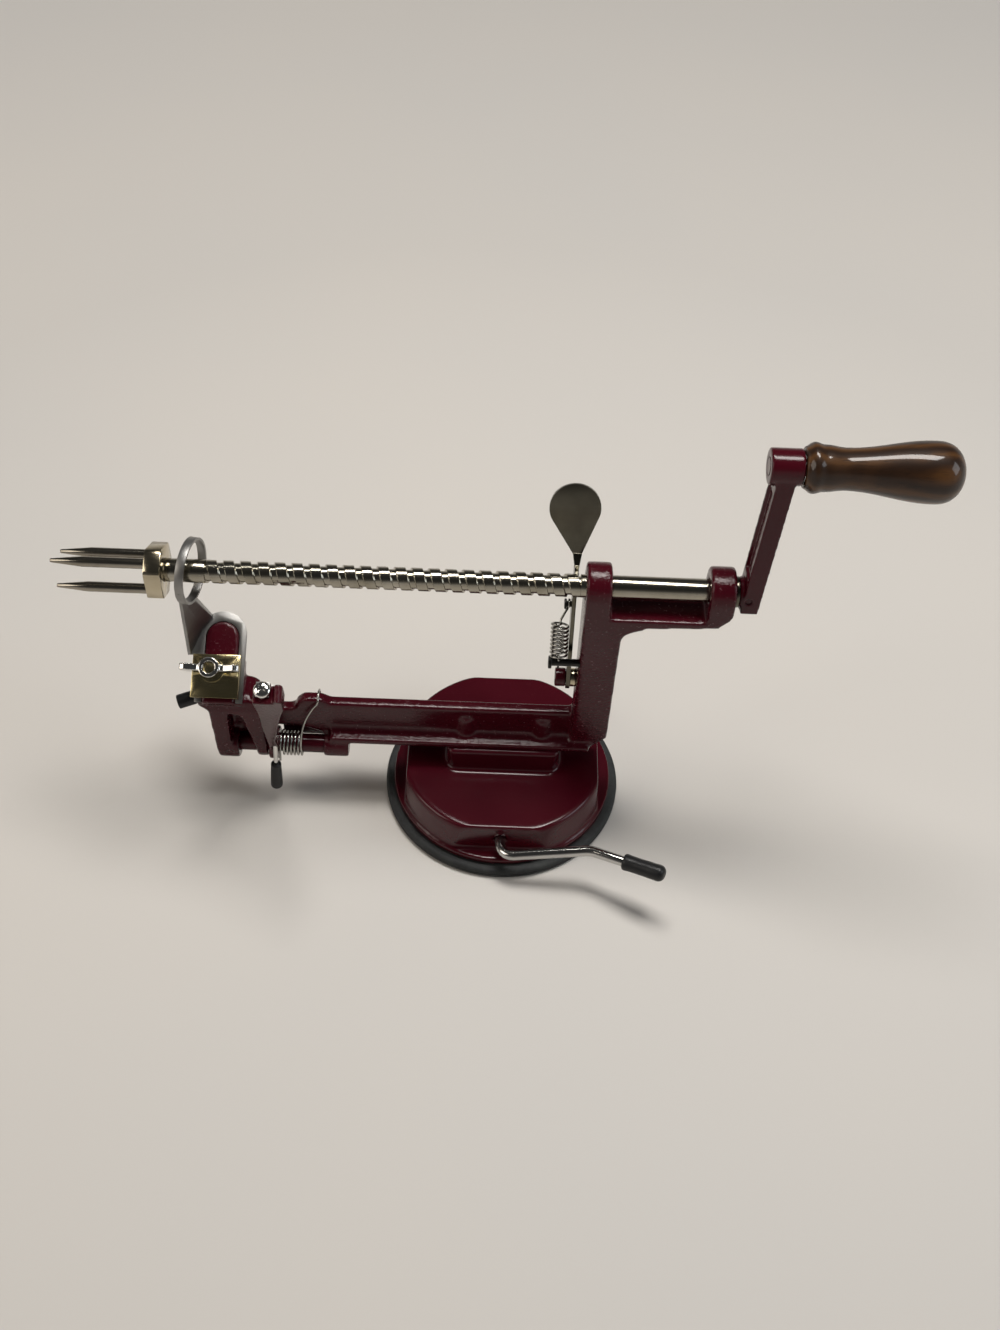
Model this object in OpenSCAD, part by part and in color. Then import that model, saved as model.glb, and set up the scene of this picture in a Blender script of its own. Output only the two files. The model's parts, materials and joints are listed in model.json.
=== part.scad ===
// Hand-cranked apple peeler, corer and slicer on a suction base, in millimetres.
// X runs along the drive shaft towards the crank, Y points away from the user and Z is up.
// The origin is the middle of the suction pad's underside.

/* [Suction base] */
// Radius of the rubber suction pad
pad_r = 51; // [49:0.5:58]
// Thickness of the rubber pad
pad_t = 4.5; // [3.5:0.1:5.5]
// Radius of the dome's bottom flange
flange_r = 47.5; // [47:0.1:48.5]
// Height of the flange's top above the table
flange_top = 8; // [7:0.1:9]
// Radius of the dome's wall at its foot
wall_r = 46; // [45:0.1:46.5]
// Radius of the dome's round shoulders at the top
shoulder_r = 44.5; // [43.5:0.1:44.9]
// Distance from the middle to each of the dome's four flats
dome_flat = 41.2; // [38:0.1:42]
// Height of the dome's top plate above the table
dome_h = 22.6; // [22:0.1:26]
// Wall thickness of the dome
dome_wall = 3; // [2:0.1:3.4]
// Length of the raised saddle under the beam
saddle_l = 48; // [44:0.5:56]
// Width of the saddle at its foot
saddle_w = 23.2; // [22:0.1:26]
// Height of the saddle above the top plate
saddle_h = 10.4; // [9.5:0.1:14]

/* [Base lever] */
// Diameter of the lever rod
lever_d = 4.5; // [4:0.1:5]
// Height of the lever's axis above the table
lever_z = 14.5; // [14.2:0.1:15]
// Distance of the lever's straight run in front of the middle
lever_run_y = 49.5; // [49:0.1:56]
// Length of the lever's straight run
lever_run = 38; // [30:1:50]
// Length of the bent grip end of the lever
lever_grip = 33; // [26:1:40]
// Angle by which the grip end is bent forward
lever_bend = 25; // [15:1:35]
// Angle of the lever above level when the base is locked
lever_rest = 10; // [8:1:14]
// Lift of the suction stud when the lever is thrown over
stud_lift = 3.2; // [2.4:0.1:3.4]
// Length of the vinyl cap on the lever
cap_l = 18; // [14:0.5:22]

/* [Frame casting] */
// Left end of the beam
beam_x0 = -74; // [-78:0.5:-70]
// Height of the beam
beam_h = 19.3; // [17:0.1:24]
// Width of the beam's bottom flange
beam_w = 16.4; // [14:0.1:19]
// Thickness of the beam's web
web_t = 5.2; // [5:0.1:7]
// Left face of the post and of the left bearing
post_x0 = 28.2; // [26:0.1:32]
// Width of the post along the shaft
post_w = 15.2; // [13:0.1:17]
// Depth of the post where it meets the beam
post_foot = 10.4; // [9:0.1:14]
// Height of the shaft's axis above the beam's underside
shaft_rise = 93.4; // [90:0.1:105]
// Distance from the post's left face to the right bearing's right face
bearing_span = 56.5; // [50:0.5:64]
// Length of each bearing
bearing_l = 9.8; // [8:0.1:12]
// Outer radius of each bearing
bearing_r = 9.5; // [8:0.1:11]
// Thickness of the upper arm between the bearings
arm_t = 5.7; // [4:0.1:6.5]

/* [Drive shaft] */
// Diameter of the drive shaft
shaft_d = 9; // [8:0.1:9.6]
// Lead of the right-hand thread
thread_lead = 6.5; // [6:0.1:8]
// Depth of the thread groove
thread_depth = 0.9; // [0.8:0.05:1.1]
// Left end of the thread
thread_x0 = -116; // [-118:0.5:-110]
// Length of each fork prong
prong_l = 35.4; // [30:0.1:40]
// Diameter of each fork prong
prong_d = 4; // [3:0.1:4.4]
// Radius of the circle on which the prongs stand
prong_circle = 7.75; // [7.4:0.05:8.2]
// Thickness of the fork head
fork_t = 6.3; // [5.6:0.1:8]
// Right face of the fork head when the shaft is fully home
fork_x1 = -131.3; // [-133:0.1:-130]

/* [Crank and handle] */
// Radius of the crank from the shaft to the handle
crank_r = 58.3; // [50:0.1:70]
// Angle by which the crank leans away from the user at rest
crank_lean = 5.8; // [0:0.1:12]
// Width of the crank arm across its face
crank_w = 12.5; // [11:0.1:14]
// Thickness of the crank arm along the shaft
crank_t = 6.8; // [5:0.1:7]
// Outward offset of the crank's top against its foot
crank_offset = 4.6; // [3:0.1:7]
// Length of the wooden handle
handle_l = 56.8; // [50:0.1:70]
// Largest diameter of the wooden handle
handle_d = 22.4; // [20:0.1:26]
// Diameter of the spindle inside the handle
spindle_d = 6; // [5:0.1:7]

/* [Shaft release lever] */
// Thickness of the release lever's steel strip
strip_t = 1.6; // [1.2:0.1:2]
// Height of the release lever's pivot below the shaft axis
release_drop = 53.6; // [50:0.1:60]
// Length of the spacer between the strip and the post
bush_l = 2.6; // [2:0.1:3.2]
// Length of the thumb paddle
paddle_l = 28.5; // [26:0.5:36]
// Width of the thumb paddle
paddle_w = 19.5; // [15:0.1:22]
// Angle by which the thumb paddle leans back
paddle_lean = 19; // [12:1:26]
// Turns of the release spring
release_turns = 9; // [6:1:10]

/* [Corer and slicer] */
// Outer diameter of the coring ring
ring_d = 25.8; // [25.4:0.1:28]
// Wall thickness of the blade's steel
blade_t = 1; // [0.8:0.05:1.4]
// Width of the coring ring along the shaft
ring_w = 3.2; // [2.6:0.1:4]
// Middle of the coring ring along the shaft
ring_x = -121.9; // [-122.6:0.1:-121.2]
// Angle by which the coring ring is turned to follow the slice
ring_turn = 10; // [6:1:12]
// Middle of the blade's foot along the shaft
foot_x = -118; // [-119:0.1:-117.5]
// Width of the blade's foot
foot_w = 19.7; // [19.2:0.1:21]
// Width of the slot in the blade's foot
slot_w = 14; // [13.4:0.1:14.4]
// Tilt of the blade's seat towards the user
seat_tilt = 30; // [25:1:35]
// Height of the seat above the beam's underside
seat_rise = 30.5; // [29:0.1:34]
// Span of the wing nut
wing_span = 24; // [20:0.5:24.5]

/* [Peeling arm] */
// Diameter of the round bar that carries the arm
bar_d = 8; // [7.6:0.1:8.4]
// Left end of the round bar
bar_x0 = -121; // [-122:0.5:-120]
// Distance of the bar in front of the shaft
bar_front = 5; // [4:0.1:6]
// Drop of the bar's axis below the beam's underside
bar_drop = 4.2; // [3.8:0.1:4.6]
// Length of the peeling arm from the bar to the blade seat
peel_arm_l = 80; // [76:0.5:82]
// Angle by which the arm leans towards the user
peel_lean = 24; // [22:1:26]
// Turns of the arm's torsion spring
arm_spring_turns = 6; // [5:1:6]
// Diameter of the spring wire
wire_d = 0.95; // [0.8:0.05:1]

/* [Hidden] */
$fn = 64;

enamel = "#4a0a18";
nickel = "#b9b3a2";
steel = "#a9a9a6";
black_vinyl = "#171717";
rubber_grey = "#2f3335";
walnut = "#3f2410";

run_fit = 0.05;       // radial clearance of a turning fit
still_fit = 0.03;     // radial clearance of a fit that stays still
clear = 0.3;          // clearance between parts that pass each other
bury = 0.4;           // depth by which shapes of one casting run into each other

// Heights and places that follow from the driving sizes
beam_z0 = dome_h + saddle_h;
beam_z1 = beam_z0 + beam_h;
beam_flange_t = 3;
beam_fillet = 4;
beam_x1 = post_x0 + 8;
shaft_r = shaft_d / 2;
shaft_z = beam_z0 + shaft_rise;
arm_z0 = shaft_z - bearing_r - 5;
arm_rise = 3.2;
bearing_x1 = post_x0 + bearing_span;
bar_r = bar_d / 2;
bar_y = -bar_front;
bar_z = beam_z0 - bar_drop;

// Base lever and suction stud
lever_r = lever_d / 2;
lever_elbow = 6;
lever_bow = 12;
bow_start = lever_bow * tan(lever_bend / 2);
lever_axle_y = 18;
cam_r = lever_r + stud_lift / 2 + 0.4;
cam_w = 7;
cam_ecc = stud_lift / 2;
yoke_slack = 0.22 * cam_ecc + 0.25;
yoke_h = cam_r + yoke_slack;
yoke_w = cam_r + cam_ecc + 0.4;
yoke_bar = 2.2;
stud_foot_r = 14;
stud_foot_t = 1.6;
rib_t = 3.5;

// Screws that hold the frame on the saddle
frame_screw_r = 1.5;
frame_screw_x = 16;
frame_screw_grip = 9;
frame_head_r = 2.8;
frame_head_t = 2;
screw_boss_r = 4.6;
screw_boss_h = frame_screw_grip + 4;
saddle_roof = 3.4;

// Fork and shaft
prong_tip_d = 1.5;
prong_taper = 12;
fork_corner = prong_circle + prong_d / 2 + 0.65;
fork_flat = fork_corner - 1.1;
fork_round_r = fork_corner + 0.6;
fork_x0 = fork_x1 - fork_t;
prong_seat = 4.8;
shaft_seat = 2;
groove_share = 0.36;
thread_x1 = post_x0 - 2;
thread_r = shaft_r - 0.04;
thread_steps = 8;
thread_sides = 14;
washer_t = 1.2;
washer_x0 = bearing_x1 + clear;
hub_x0 = washer_x0 + washer_t + 0.1;
hub_r = 6;
hub_l = 6.8;
shaft_x1 = hub_x0 + hub_l - 0.6;

// Crank
crank_foot_x = hub_x0 + 0.8;
crank_top_x = crank_foot_x + crank_offset;
crank_boss_r = 6.7;
crank_boss_x0 = crank_top_x - 3;
crank_boss_l = 12;
crank_recess = 1.3;
handle_x0 = crank_boss_x0 + crank_boss_l + clear;
spindle_r = spindle_d / 2;
spindle_reach = handle_l - 9;

// Release lever
strip_x1 = post_x0 - bush_l;
strip_x0 = strip_x1 - strip_t;
release_x = (strip_x0 + strip_x1) / 2;
release_z = shaft_z - release_drop;
strip_lean = 10.3;
strip_l = release_drop + 3.5;
strip_foot = 4.6;
strip_head = 3.1;
nib_reach = shaft_r - thread_depth + 0.1;
nib_h = 1.6;
pivot_r = 2;
pivot_head_r = 3.8;
pivot_head_l = 4.3;
spring_x = post_x0 - 8.2;
lever_stud_s = 37;
lever_stud_y = lever_stud_s * sin(strip_lean);
lever_stud_z = release_z + lever_stud_s * cos(strip_lean);
stud_r = 1.2;
stud_x = strip_x0 - 0.9;
anchor_out = 2.6;
anchor_y = -6;
anchor_z = release_z + 15.8;
anchor_r = 1.5;
anchor_head_r = 2.6;
release_coil_r = 3.2;

// Blade, clamp and bracket
ring_r = ring_d / 2;
seat_z = beam_z0 + seat_rise;
foot_t = 1.2;
seat_gap = 0.02;
arch_y = 18.2;
slot_y = arch_y - 1.3;
tongue_y = slot_y;
foot_y0 = -10.3;
tongue_h = 2.6;
tongue_r = slot_w / 2 - 0.3;
clamp_w = foot_w - 0.3;
clamp_dx = -1.2;
clamp_t = 1.6;
clamp_y0 = -9;
clamp_y1 = 9.1;
clamp_z0 = foot_t + 2;
bolt_x = -2.8;
bolt_y = 2.3;
bolt_r = 2.4;
bolt_l = 11.6;
nut_r = 4.2;
nut_h = 7.6;
nut_z0 = clamp_z0 + clamp_t + 0.05;
wing_turn = 0;
wing_t = 2.8;
seat_slab_t = 7;
bracket_x1 = -100;
bracket_hub_r = 7;
bracket_hub_l = 8.8;
leg_w = 6.6;
leg_x0 = bar_x0 - 0.6;
bracket_back = bar_y + 2;
window_top = seat_z - 12;
bar_pin_r = 1.25;
bar_pin_x = bar_x0 + 5.2;
bar_x1 = beam_x0 + 6;
stop_r = 3;
stop_l = 12.6;
stop_neck = 5.1;
stop_turn = 20;

// Peeling arm and its spring
arm_hub_x0 = bracket_x1 + clear;
arm_hub_x1 = arm_hub_x0 + 4.1;
arm_hub_r = 7.2;
arm_front = -5.1;
arm_back = 2.2;
head_x0 = arm_hub_x0 + 4.1;
head_x1 = head_x0 + 7.4;
finger_x1 = head_x1 + 4;
finger_rise = 2.6;
arm_neck_l = 9;
arm_shoulder_l = 21;
arm_bend_l = 36;
arm_knee_l = 51;
arm_root_l = 20;
blade_screw_x = (head_x0 + head_x1) / 2;
blade_screw_r = 1.6;
blade_head_r = 3.3;
peel_t = 0.8;
peel_h = 9;
rod_x = arm_hub_x1 - 2.2;
rod_y = bar_y - 8;
rod_z = bar_z - 20.7;
rod_lean = 3.6;
rod_r = 1;
rod_l = 34;
tip_r = 2.6;
tip_l = 16;
coil_r = bar_r + 1.2;
coil_x0 = arm_hub_x1 + clear + wire_d / 2;
coil_pitch = 1.52;
lug_x0 = beam_x0 - 13;
lug_top = beam_z1 + 2.2;
link_z0 = beam_z0 + 4;
link_z1 = beam_z0 + 15;

// Moves a shape drawn in Y and Z so that it runs along X from x0
module along_x(x0, len) { translate([x0, 0, 0]) rotate([90, 0, 90]) linear_extrude(len) children(); }

// Moves a shape drawn in X and Z so that it runs along Y from y0 to y1
module along_y(y0, y1) { translate([0, y1, 0]) rotate([90, 0, 0]) linear_extrude(y1 - y0) children(); }

// Round rod along X
module rod_x(x0, x1, r, y = 0, z = 0) {
    translate([x0, y, z]) rotate([0, 90, 0]) cylinder(h = x1 - x0, r = r);
}

// Round rod along Y
module rod_y(y0, y1, r, x = 0, z = 0) {
    translate([x, y1, z]) rotate([90, 0, 0]) cylinder(h = y1 - y0, r = r);
}

// Puts a shape on the blade's seat, whose plane is the local X and Y
module on_seat() { translate([foot_x, 0, seat_z]) rotate([seat_tilt, 0, 0]) children(); }

// Puts a shape on the round bar, upright in the peeling arm's own frame
module on_arm() { translate([0, bar_y, bar_z]) rotate([peel_lean, 0, 0]) children(); }

// Turns a shape with the crank, upright in the crank's own frame
module on_crank() { translate([0, 0, shaft_z]) rotate([-crank_lean, 0, 0]) children(); }

// Rectangle with round corners, centred
module round_rect(w, l, r) {
    for (sx = [-1, 1], sy = [-1, 1]) translate([sx * (w / 2 - r), sy * (l / 2 - r)]) circle(r);
    square([w - 2 * r, l], center = true);
    square([w, l - 2 * r], center = true);
}

// Tube swept along a list of points, with flat ends
function unit(v) = v / norm(v);
function heading(p, i) = unit(p[min(i + 1, len(p) - 1)] - p[max(i - 1, 0)]);
function ring_of(p, i, r, up, sides) =
    let (t = heading(p, i), a = unit(cross(t, up)), b = cross(a, t))
    [for (k = [0:sides - 1]) p[i] + r * (a * cos(360 * k / sides) + b * sin(360 * k / sides))];
module tube(path, r, up, sides = 6) {
    n = len(path);
    pts = [for (i = [0:n - 1]) each ring_of(path, i, r, up, sides)];
    walls = [for (i = [0:n - 2], k = [0:sides - 1])
        let (a = i * sides + k, b = i * sides + (k + 1) % sides)
        each [[a, a + sides, b], [b, a + sides, b + sides]]];
    last = (n - 1) * sides;
    caps = [for (k = [1:sides - 2]) each [[0, k, k + 1], [last, last + k + 1, last + k]]];
    polyhedron(pts, concat(walls, caps), convexity = 10);
}

// Least distance between two places on a wire that are more than a given number of points apart
function least_gap(path, apart, d) =
    min([for (i = [0:len(path) - 1], j = [i + apart:1:len(path) - 1]) norm(path[i] - path[j])]) - d;

// Base
module dome_outline(inset, top) {
    polygon(concat(
        [[0, pad_t], [flange_r - inset, pad_t], [flange_r - inset, flange_top], [wall_r - inset, flange_top]],
        [for (a = [0:15:90]) [shoulder_r - inset - 2.2 * (1 - cos(a)), top - 2.2 * (1 - sin(a))]],
        [[0, top]]));
}

module dome_bulk(inset, top) {
    intersection() {
        rotate_extrude($fn = 128) dome_outline(inset, top);
        union() {
            cylinder(h = flange_top, r = flange_r + 1);
            translate([0, 0, top / 2])
                cube([2 * (dome_flat - inset), 2 * (dome_flat - inset), top], center = true);
        }
    }
}

module saddle_bulk(inset, top) {
    intersection() {
        linear_extrude(top) round_rect(saddle_l - 2 * inset, saddle_w - 2 * inset, 6 - inset / 2);
        along_x(-saddle_l / 2, saddle_l)
            polygon([[-saddle_w / 2 + inset, 0], [saddle_w / 2 - inset, 0], [saddle_w / 2 - inset, dome_h],
                [saddle_w / 2 - inset - 2, top], [-saddle_w / 2 + inset + 2, top],
                [-saddle_w / 2 + inset, dome_h]]);
    }
}

module base_dome() color(enamel) difference() {
    union() {
        difference() {
            union() {
                dome_bulk(0, dome_h);
                translate([0, 0, dome_h - 1]) intersection() {
                    translate([0, 0, 1 - dome_h]) saddle_bulk(0, beam_z0);
                    translate([-saddle_l, -saddle_w, 0]) cube([2 * saddle_l, 2 * saddle_w, 2 * beam_z0]);
                }
            }
            intersection() {
                rotate_extrude($fn = 128) polygon([[0, pad_t - 1], [wall_r - dome_wall, pad_t - 1],
                    [shoulder_r - dome_wall, dome_h - dome_wall - 2],
                    [shoulder_r - dome_wall - 2, dome_h - dome_wall],
                    [0, dome_h - dome_wall]]);
                translate([0, 0, dome_h / 2])
                    cube([2, 2, 0] * (dome_flat - dome_wall) + [0, 0, 2 * dome_h], center = true);
            }
            translate([0, 0, dome_h - dome_wall - 1])
                linear_extrude(beam_z0 - saddle_roof - dome_h + dome_wall + 1)
                round_rect(saddle_l - 8, saddle_w - 9, 3);
        }
        translate([-5, lever_axle_y - rib_t - 1, lever_z - 5])
            cube([10, rib_t, dome_h - lever_z + 5 - dome_wall + bury]);
    }
    rod_y(-flange_r, lever_axle_y + 1, lever_r + run_fit, 0, lever_z);
    for (sx = [-1, 1]) translate([sx * frame_screw_x, 0, beam_z0 - saddle_roof - 1])
        cylinder(h = saddle_roof + 2, r = frame_screw_r + still_fit);
}

module suction_pad() color(rubber_grey) rotate_extrude($fn = 128)
    polygon([[0, 0], [pad_r - 0.8, 0], [pad_r, 0.8], [pad_r, pad_t - 1.3], [pad_r - 1.5, pad_t], [0, pad_t]]);

module pull_stud() color(steel) difference() {
    cam_z = lever_z - cam_ecc;
    union() {
        translate([0, 0, pad_t + 0.1]) cylinder(h = stud_foot_t, r = stud_foot_r);
        along_y(-cam_w / 2 + 0.5, cam_w / 2 - 0.5)
            translate([-yoke_w - yoke_bar, pad_t + 0.1 + stud_foot_t / 2])
            square([2 * (yoke_w + yoke_bar), cam_z + yoke_h + yoke_bar - pad_t - stud_foot_t / 2]);
    }
    along_y(-cam_w, cam_w) translate([-yoke_w, cam_z - yoke_h]) square([2 * yoke_w, 2 * yoke_h]);
}

module lever_cam() color(steel) difference() {
    rod_y(-cam_w / 2, cam_w / 2, cam_r, 0, lever_z - cam_ecc);
    rod_y(-cam_w, cam_w, lever_r + still_fit, 0, lever_z);
}

// Turns a shape with the base lever, whose axis is Y
module at_lever() { translate([0, 0, lever_z]) rotate([0, -lever_rest, 0]) children(); }

// Places a shape at the start of the lever's bent grip, with its Z along the grip
module at_grip() {
    at_lever() translate([lever_run, -lever_run_y, 0]) rotate([0, 90, -lever_bend]) children();
}

// Middle line of the lever rod: axle, elbow, straight run, bow and grip
elbow_at = [lever_elbow, lever_elbow - lever_run_y, 0];
bow_at = [lever_run - bow_start, -lever_run_y - lever_bow, 0];
function round_at(centre, r, a) = centre + r * [cos(a), sin(a), 0];
lever_path = concat(
    [[0, lever_axle_y, 0], [0, elbow_at[1] + 1, 0]],
    [for (a = [180:15:270]) round_at(elbow_at, lever_elbow, a)],
    [[lever_elbow + 1, -lever_run_y, 0], [lever_run - bow_start - 1, -lever_run_y, 0]],
    [for (i = [0:5]) round_at(bow_at, lever_bow, 90 - lever_bend * i / 5)],
    [for (l = [bow_start + 1, lever_grip - 2])
        [lever_run, -lever_run_y, 0] + l * [cos(lever_bend), -sin(lever_bend), 0]]);

module lever_rod() color(steel) at_lever() tube(lever_path, lever_r, [0, 0, 1], 32);

module lever_cap() color(black_vinyl) at_grip() translate([0, 0, lever_grip - cap_l]) difference() {
    cap_r = lever_r + 1.25;
    rotate_extrude() polygon(concat([[0, 0], [cap_r, 0]],
        [for (a = [0:15:90]) [cap_r - 2.5 + 2.5 * cos(a), cap_l - 2.5 + 2.5 * sin(a)]], [[0, cap_l]]));
    translate([0, 0, -1]) cylinder(h = cap_l - 1 + still_fit, r = lever_r + still_fit);
}

// Frame
module beam_outline() {
    translate([-beam_w / 2, beam_z0]) square([beam_w, beam_flange_t]);
    translate([-web_t / 2, beam_z0]) square([web_t, beam_h]);
    for (s = [-1, 1]) scale([s, 1]) translate([web_t / 2, beam_z0 + beam_flange_t]) difference() {
        translate([-bury, -bury]) square(beam_fillet + bury);
        translate([beam_fillet, beam_fillet]) circle(beam_fillet);
    }
}

module frame_side() {
    under = 8;
    difference() {
        union() {
            translate([post_x0, beam_z0 + bury]) square([post_w, arm_z0 - beam_z0]);
            polygon([[post_x0, arm_z0], [bearing_x1, arm_z0 + arm_rise], [bearing_x1, arm_z0 + arm_t],
                [post_x0, arm_z0 + arm_t]]);
            translate([post_x0, arm_z0]) square([bearing_l, shaft_z + bearing_r - arm_z0]);
            polygon([[bearing_x1 - bearing_l, arm_z0 + arm_rise - 0.5], [bearing_x1 - 3, arm_z0 + arm_rise],
                [bearing_x1, shaft_z - 5], [bearing_x1, shaft_z + bearing_r],
                [bearing_x1 - bearing_l, shaft_z + bearing_r]]);
            translate([post_x0 + post_w, arm_z0 - under]) difference() {
                translate([-bury, 0]) square([under + bury, under + bury]);
                translate([under, 0]) circle(under);
            }
        }
        translate([bearing_x1, arm_z0 + arm_rise]) rotate(45) square(7, center = true);
        translate([post_x0 + post_w, beam_z0 + bury]) rotate(45) square(9, center = true);
    }
}

module frame_front() {
    translate([0, shaft_z]) circle(bearing_r);
    translate([-bearing_r, arm_z0]) square([2 * bearing_r, shaft_z - arm_z0]);
    polygon([[-post_foot / 2, beam_z0], [post_foot / 2, beam_z0], [bearing_r, arm_z0 + bury],
        [-bearing_r, arm_z0 + bury]]);
}

// Block at the beam's left end and the link that runs on from it to the blade bracket
module lug_outline() {
    polygon([[beam_x0 + 3, beam_z0], [beam_x0 - 3, beam_z0], [lug_x0, link_z0], [bracket_x1 - 5, link_z0],
        [bracket_x1 - 5, link_z1], [lug_x0 - 3, link_z1], [lug_x0 - 1, link_z1 + 1.2],
        [lug_x0, lug_top - 2.5], [lug_x0 + 3, lug_top], [beam_x0 - 3, lug_top], [beam_x0 + 1, beam_z1],
        [beam_x0 + 3, beam_z1]]);
}

// Rib behind the torsion spring, from the link down to the bar
module link_rib() {
    rib_y0 = bar_y + coil_r + wire_d / 2 + clear;
    along_y(rib_y0, rib_y0 + 3.4) translate([arm_hub_x1 + 0.6, bar_z - 2])
        square([beam_x0 + 4 - arm_hub_x1 - 0.6, link_z0 + 6 - bar_z + 2]);
}

module bracket_legs() {
    left_x = foot_x - foot_w / 2 + 1.2;
    polygon([[leg_x0 - 1.4, seat_z - 11], [left_x, seat_z - 8], [left_x, seat_z],
        [bracket_x1 - 5, seat_z - 4.5], [bracket_x1 - 2.6, seat_z - 6.5], [bracket_x1 - 0.2, seat_z - 15],
        [bracket_x1, bar_z],
        [bracket_x1, bar_z - 1], [leg_x0, bar_z - 1], [leg_x0, bar_z]]);
}

// Deep window between the bracket's two legs
module bracket_window() {
    win_x = leg_x0 + leg_w;
    polygon([[win_x - 0.2, window_top], [win_x + 4.5, window_top - 1], [win_x + 5.8, window_top - 3.4],
        [bracket_x1 - 4.2, bar_z], [bracket_x1 - 4.2, bar_z - 9], [win_x, bar_z - 9]]);
}

module bracket_depth() {
    polygon([[bar_y - bracket_hub_r + 0.4, bar_z], [bar_y + bracket_hub_r - 0.4, bar_z],
        [6, seat_z - 5], [6, seat_z],
        [foot_y0 * cos(seat_tilt) + 1, seat_z + foot_y0 * sin(seat_tilt)],
        [foot_y0 * cos(seat_tilt) - 0.4, seat_z + foot_y0 * sin(seat_tilt) - 5]]);
}

// Bracket that carries the coring blade: a hub for the bar, two legs, a tilted seat and a tongue
module bracket_bulk() {
    difference() {
        union() {
            intersection() {
                along_y(-20, 20) bracket_legs();
                along_x(foot_x - foot_w, 3 * foot_w) bracket_depth();
            }
            on_seat() translate([0, 0, -seat_slab_t]) linear_extrude(seat_slab_t) {
                translate([0, tongue_y]) circle(tongue_r + 0.6);
                translate([-tongue_r - 0.6, 0]) square([2 * tongue_r + 1.2, tongue_y]);
                translate([-foot_w / 2 + 0.5, foot_y0 - 0.7]) square([foot_w - 1, 20]);
            }
            on_seat() translate([0, 0, -1]) linear_extrude(tongue_h + 1) {
                translate([0, tongue_y]) circle(tongue_r);
                translate([-tongue_r, foot_y0 - 0.7]) square([2 * tongue_r, tongue_y - foot_y0 + 0.7]);
            }
        }
        along_y(bar_y - 20, bracket_back) bracket_window();
    }
    rod_x(bar_x0, bar_x0 + bracket_hub_l, bracket_hub_r, bar_y, bar_z);
    rod_x(bracket_x1 - 5, bracket_x1, bracket_hub_r - 1, bar_y, bar_z);
}

module bar_pin_hole() rod_y(bar_y - 12, bar_y + 12, bar_pin_r + still_fit, bar_pin_x, bar_z);

module stop_pin_place() {
    on_seat() translate([-foot_w / 2 + 4.1, -5.5, -4.7]) rotate([0, -90, stop_turn]) children();
}

module frame_casting() color(enamel) difference() {
    union() {
        along_x(beam_x0, beam_x1 - beam_x0) beam_outline();
        intersection() {
            along_y(-bearing_r - 1, bearing_r + 1) frame_side();
            along_x(post_x0 - 1, bearing_span + 2) frame_front();
        }
        along_y(-web_t / 2, web_t / 2) lug_outline();
        for (sx = [-1, 1]) translate([sx * frame_screw_x, 0, beam_z0 + 0.5]) {
            cylinder(h = screw_boss_h - 0.5, r1 = screw_boss_r + 0.6, r2 = screw_boss_r - 0.6);
            translate([0, 0, screw_boss_h - 0.5])
                cylinder(h = 2.2, r1 = screw_boss_r - 0.6, r2 = web_t / 2 - 0.5);
        }
        link_rib();
        rod_x(beam_x0 - 3, bar_x1 + 2, bar_r + 1.2, bar_y, bar_z);
        bracket_bulk();
    }
    rod_x(post_x0 - 1, bearing_x1 + 1, shaft_r + run_fit, 0, shaft_z);
    for (sx = [-1, 1]) translate([sx * frame_screw_x, 0, beam_z0 - 1])
        cylinder(h = frame_screw_grip + 1.5, r = frame_screw_r + still_fit);
    rod_x(post_x0 - 1, post_x0 + 8, pivot_r + still_fit, 0, release_z);
    rod_x(post_x0 - 1, post_x0 + 6, anchor_r + still_fit, anchor_y, anchor_z);
    rod_x(bar_x0 - 1, bar_x1 + still_fit, bar_r + still_fit, bar_y, bar_z);
    on_seat() translate([bolt_x, bolt_y, tongue_h - 6 - still_fit]) cylinder(h = 10, r = bolt_r + still_fit);
    stop_pin_place() translate([0, 0, -still_fit]) cylinder(h = stop_l, r = stop_r - 0.9 + still_fit);
    bar_pin_hole();
}

module pivot_bar() color(enamel) difference() {
    rod_x(bar_x0, bar_x1, bar_r, bar_y, bar_z);
    bar_pin_hole();
}

module bar_pin() color(steel)
    rod_y(bar_y - bracket_hub_r + 0.6, bar_y + bracket_hub_r - 0.6, bar_pin_r, bar_pin_x, bar_z);

module frame_screws() color(steel) for (sx = [-1, 1])
    translate([sx * frame_screw_x, 0, beam_z0 - saddle_roof]) {
        cylinder(h = saddle_roof + frame_screw_grip, r = frame_screw_r);
        translate([0, 0, -frame_head_t]) cylinder(h = frame_head_t, r = frame_head_r);
    }

// Drive
module thread_outline() {
    groove = 360 * groove_share;
    polygon(concat(
        [for (a = [-groove / 2:groove / 4:groove / 2]) (thread_r - thread_depth) * [cos(a), sin(a)]],
        [for (a = [groove / 2 + 8:(344 - groove) / 8:352 - groove / 2]) thread_r * [cos(a), sin(a)]]));
}

module drive_shaft() color(nickel) {
    turns = (thread_x1 - thread_x0) / thread_lead;
    difference() {
        translate([0, 0, shaft_z]) union() {
            rod_x(fork_x0 + shaft_seat, thread_x0 + bury, shaft_r);
            rod_x(thread_x1 - bury, shaft_x1, shaft_r);
            rod_x(thread_x0, thread_x1, shaft_r - thread_depth - 0.3);
            translate([thread_x0, 0, 0]) rotate([90, 0, 90])
                linear_extrude(thread_x1 - thread_x0, twist = -360 * turns,
                    slices = round(turns * thread_steps), $fn = thread_sides)
                rotate(-360 * (release_x - thread_x0) / thread_lead) thread_outline();
        }
        crank_pin_hole();
    }
}

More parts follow.
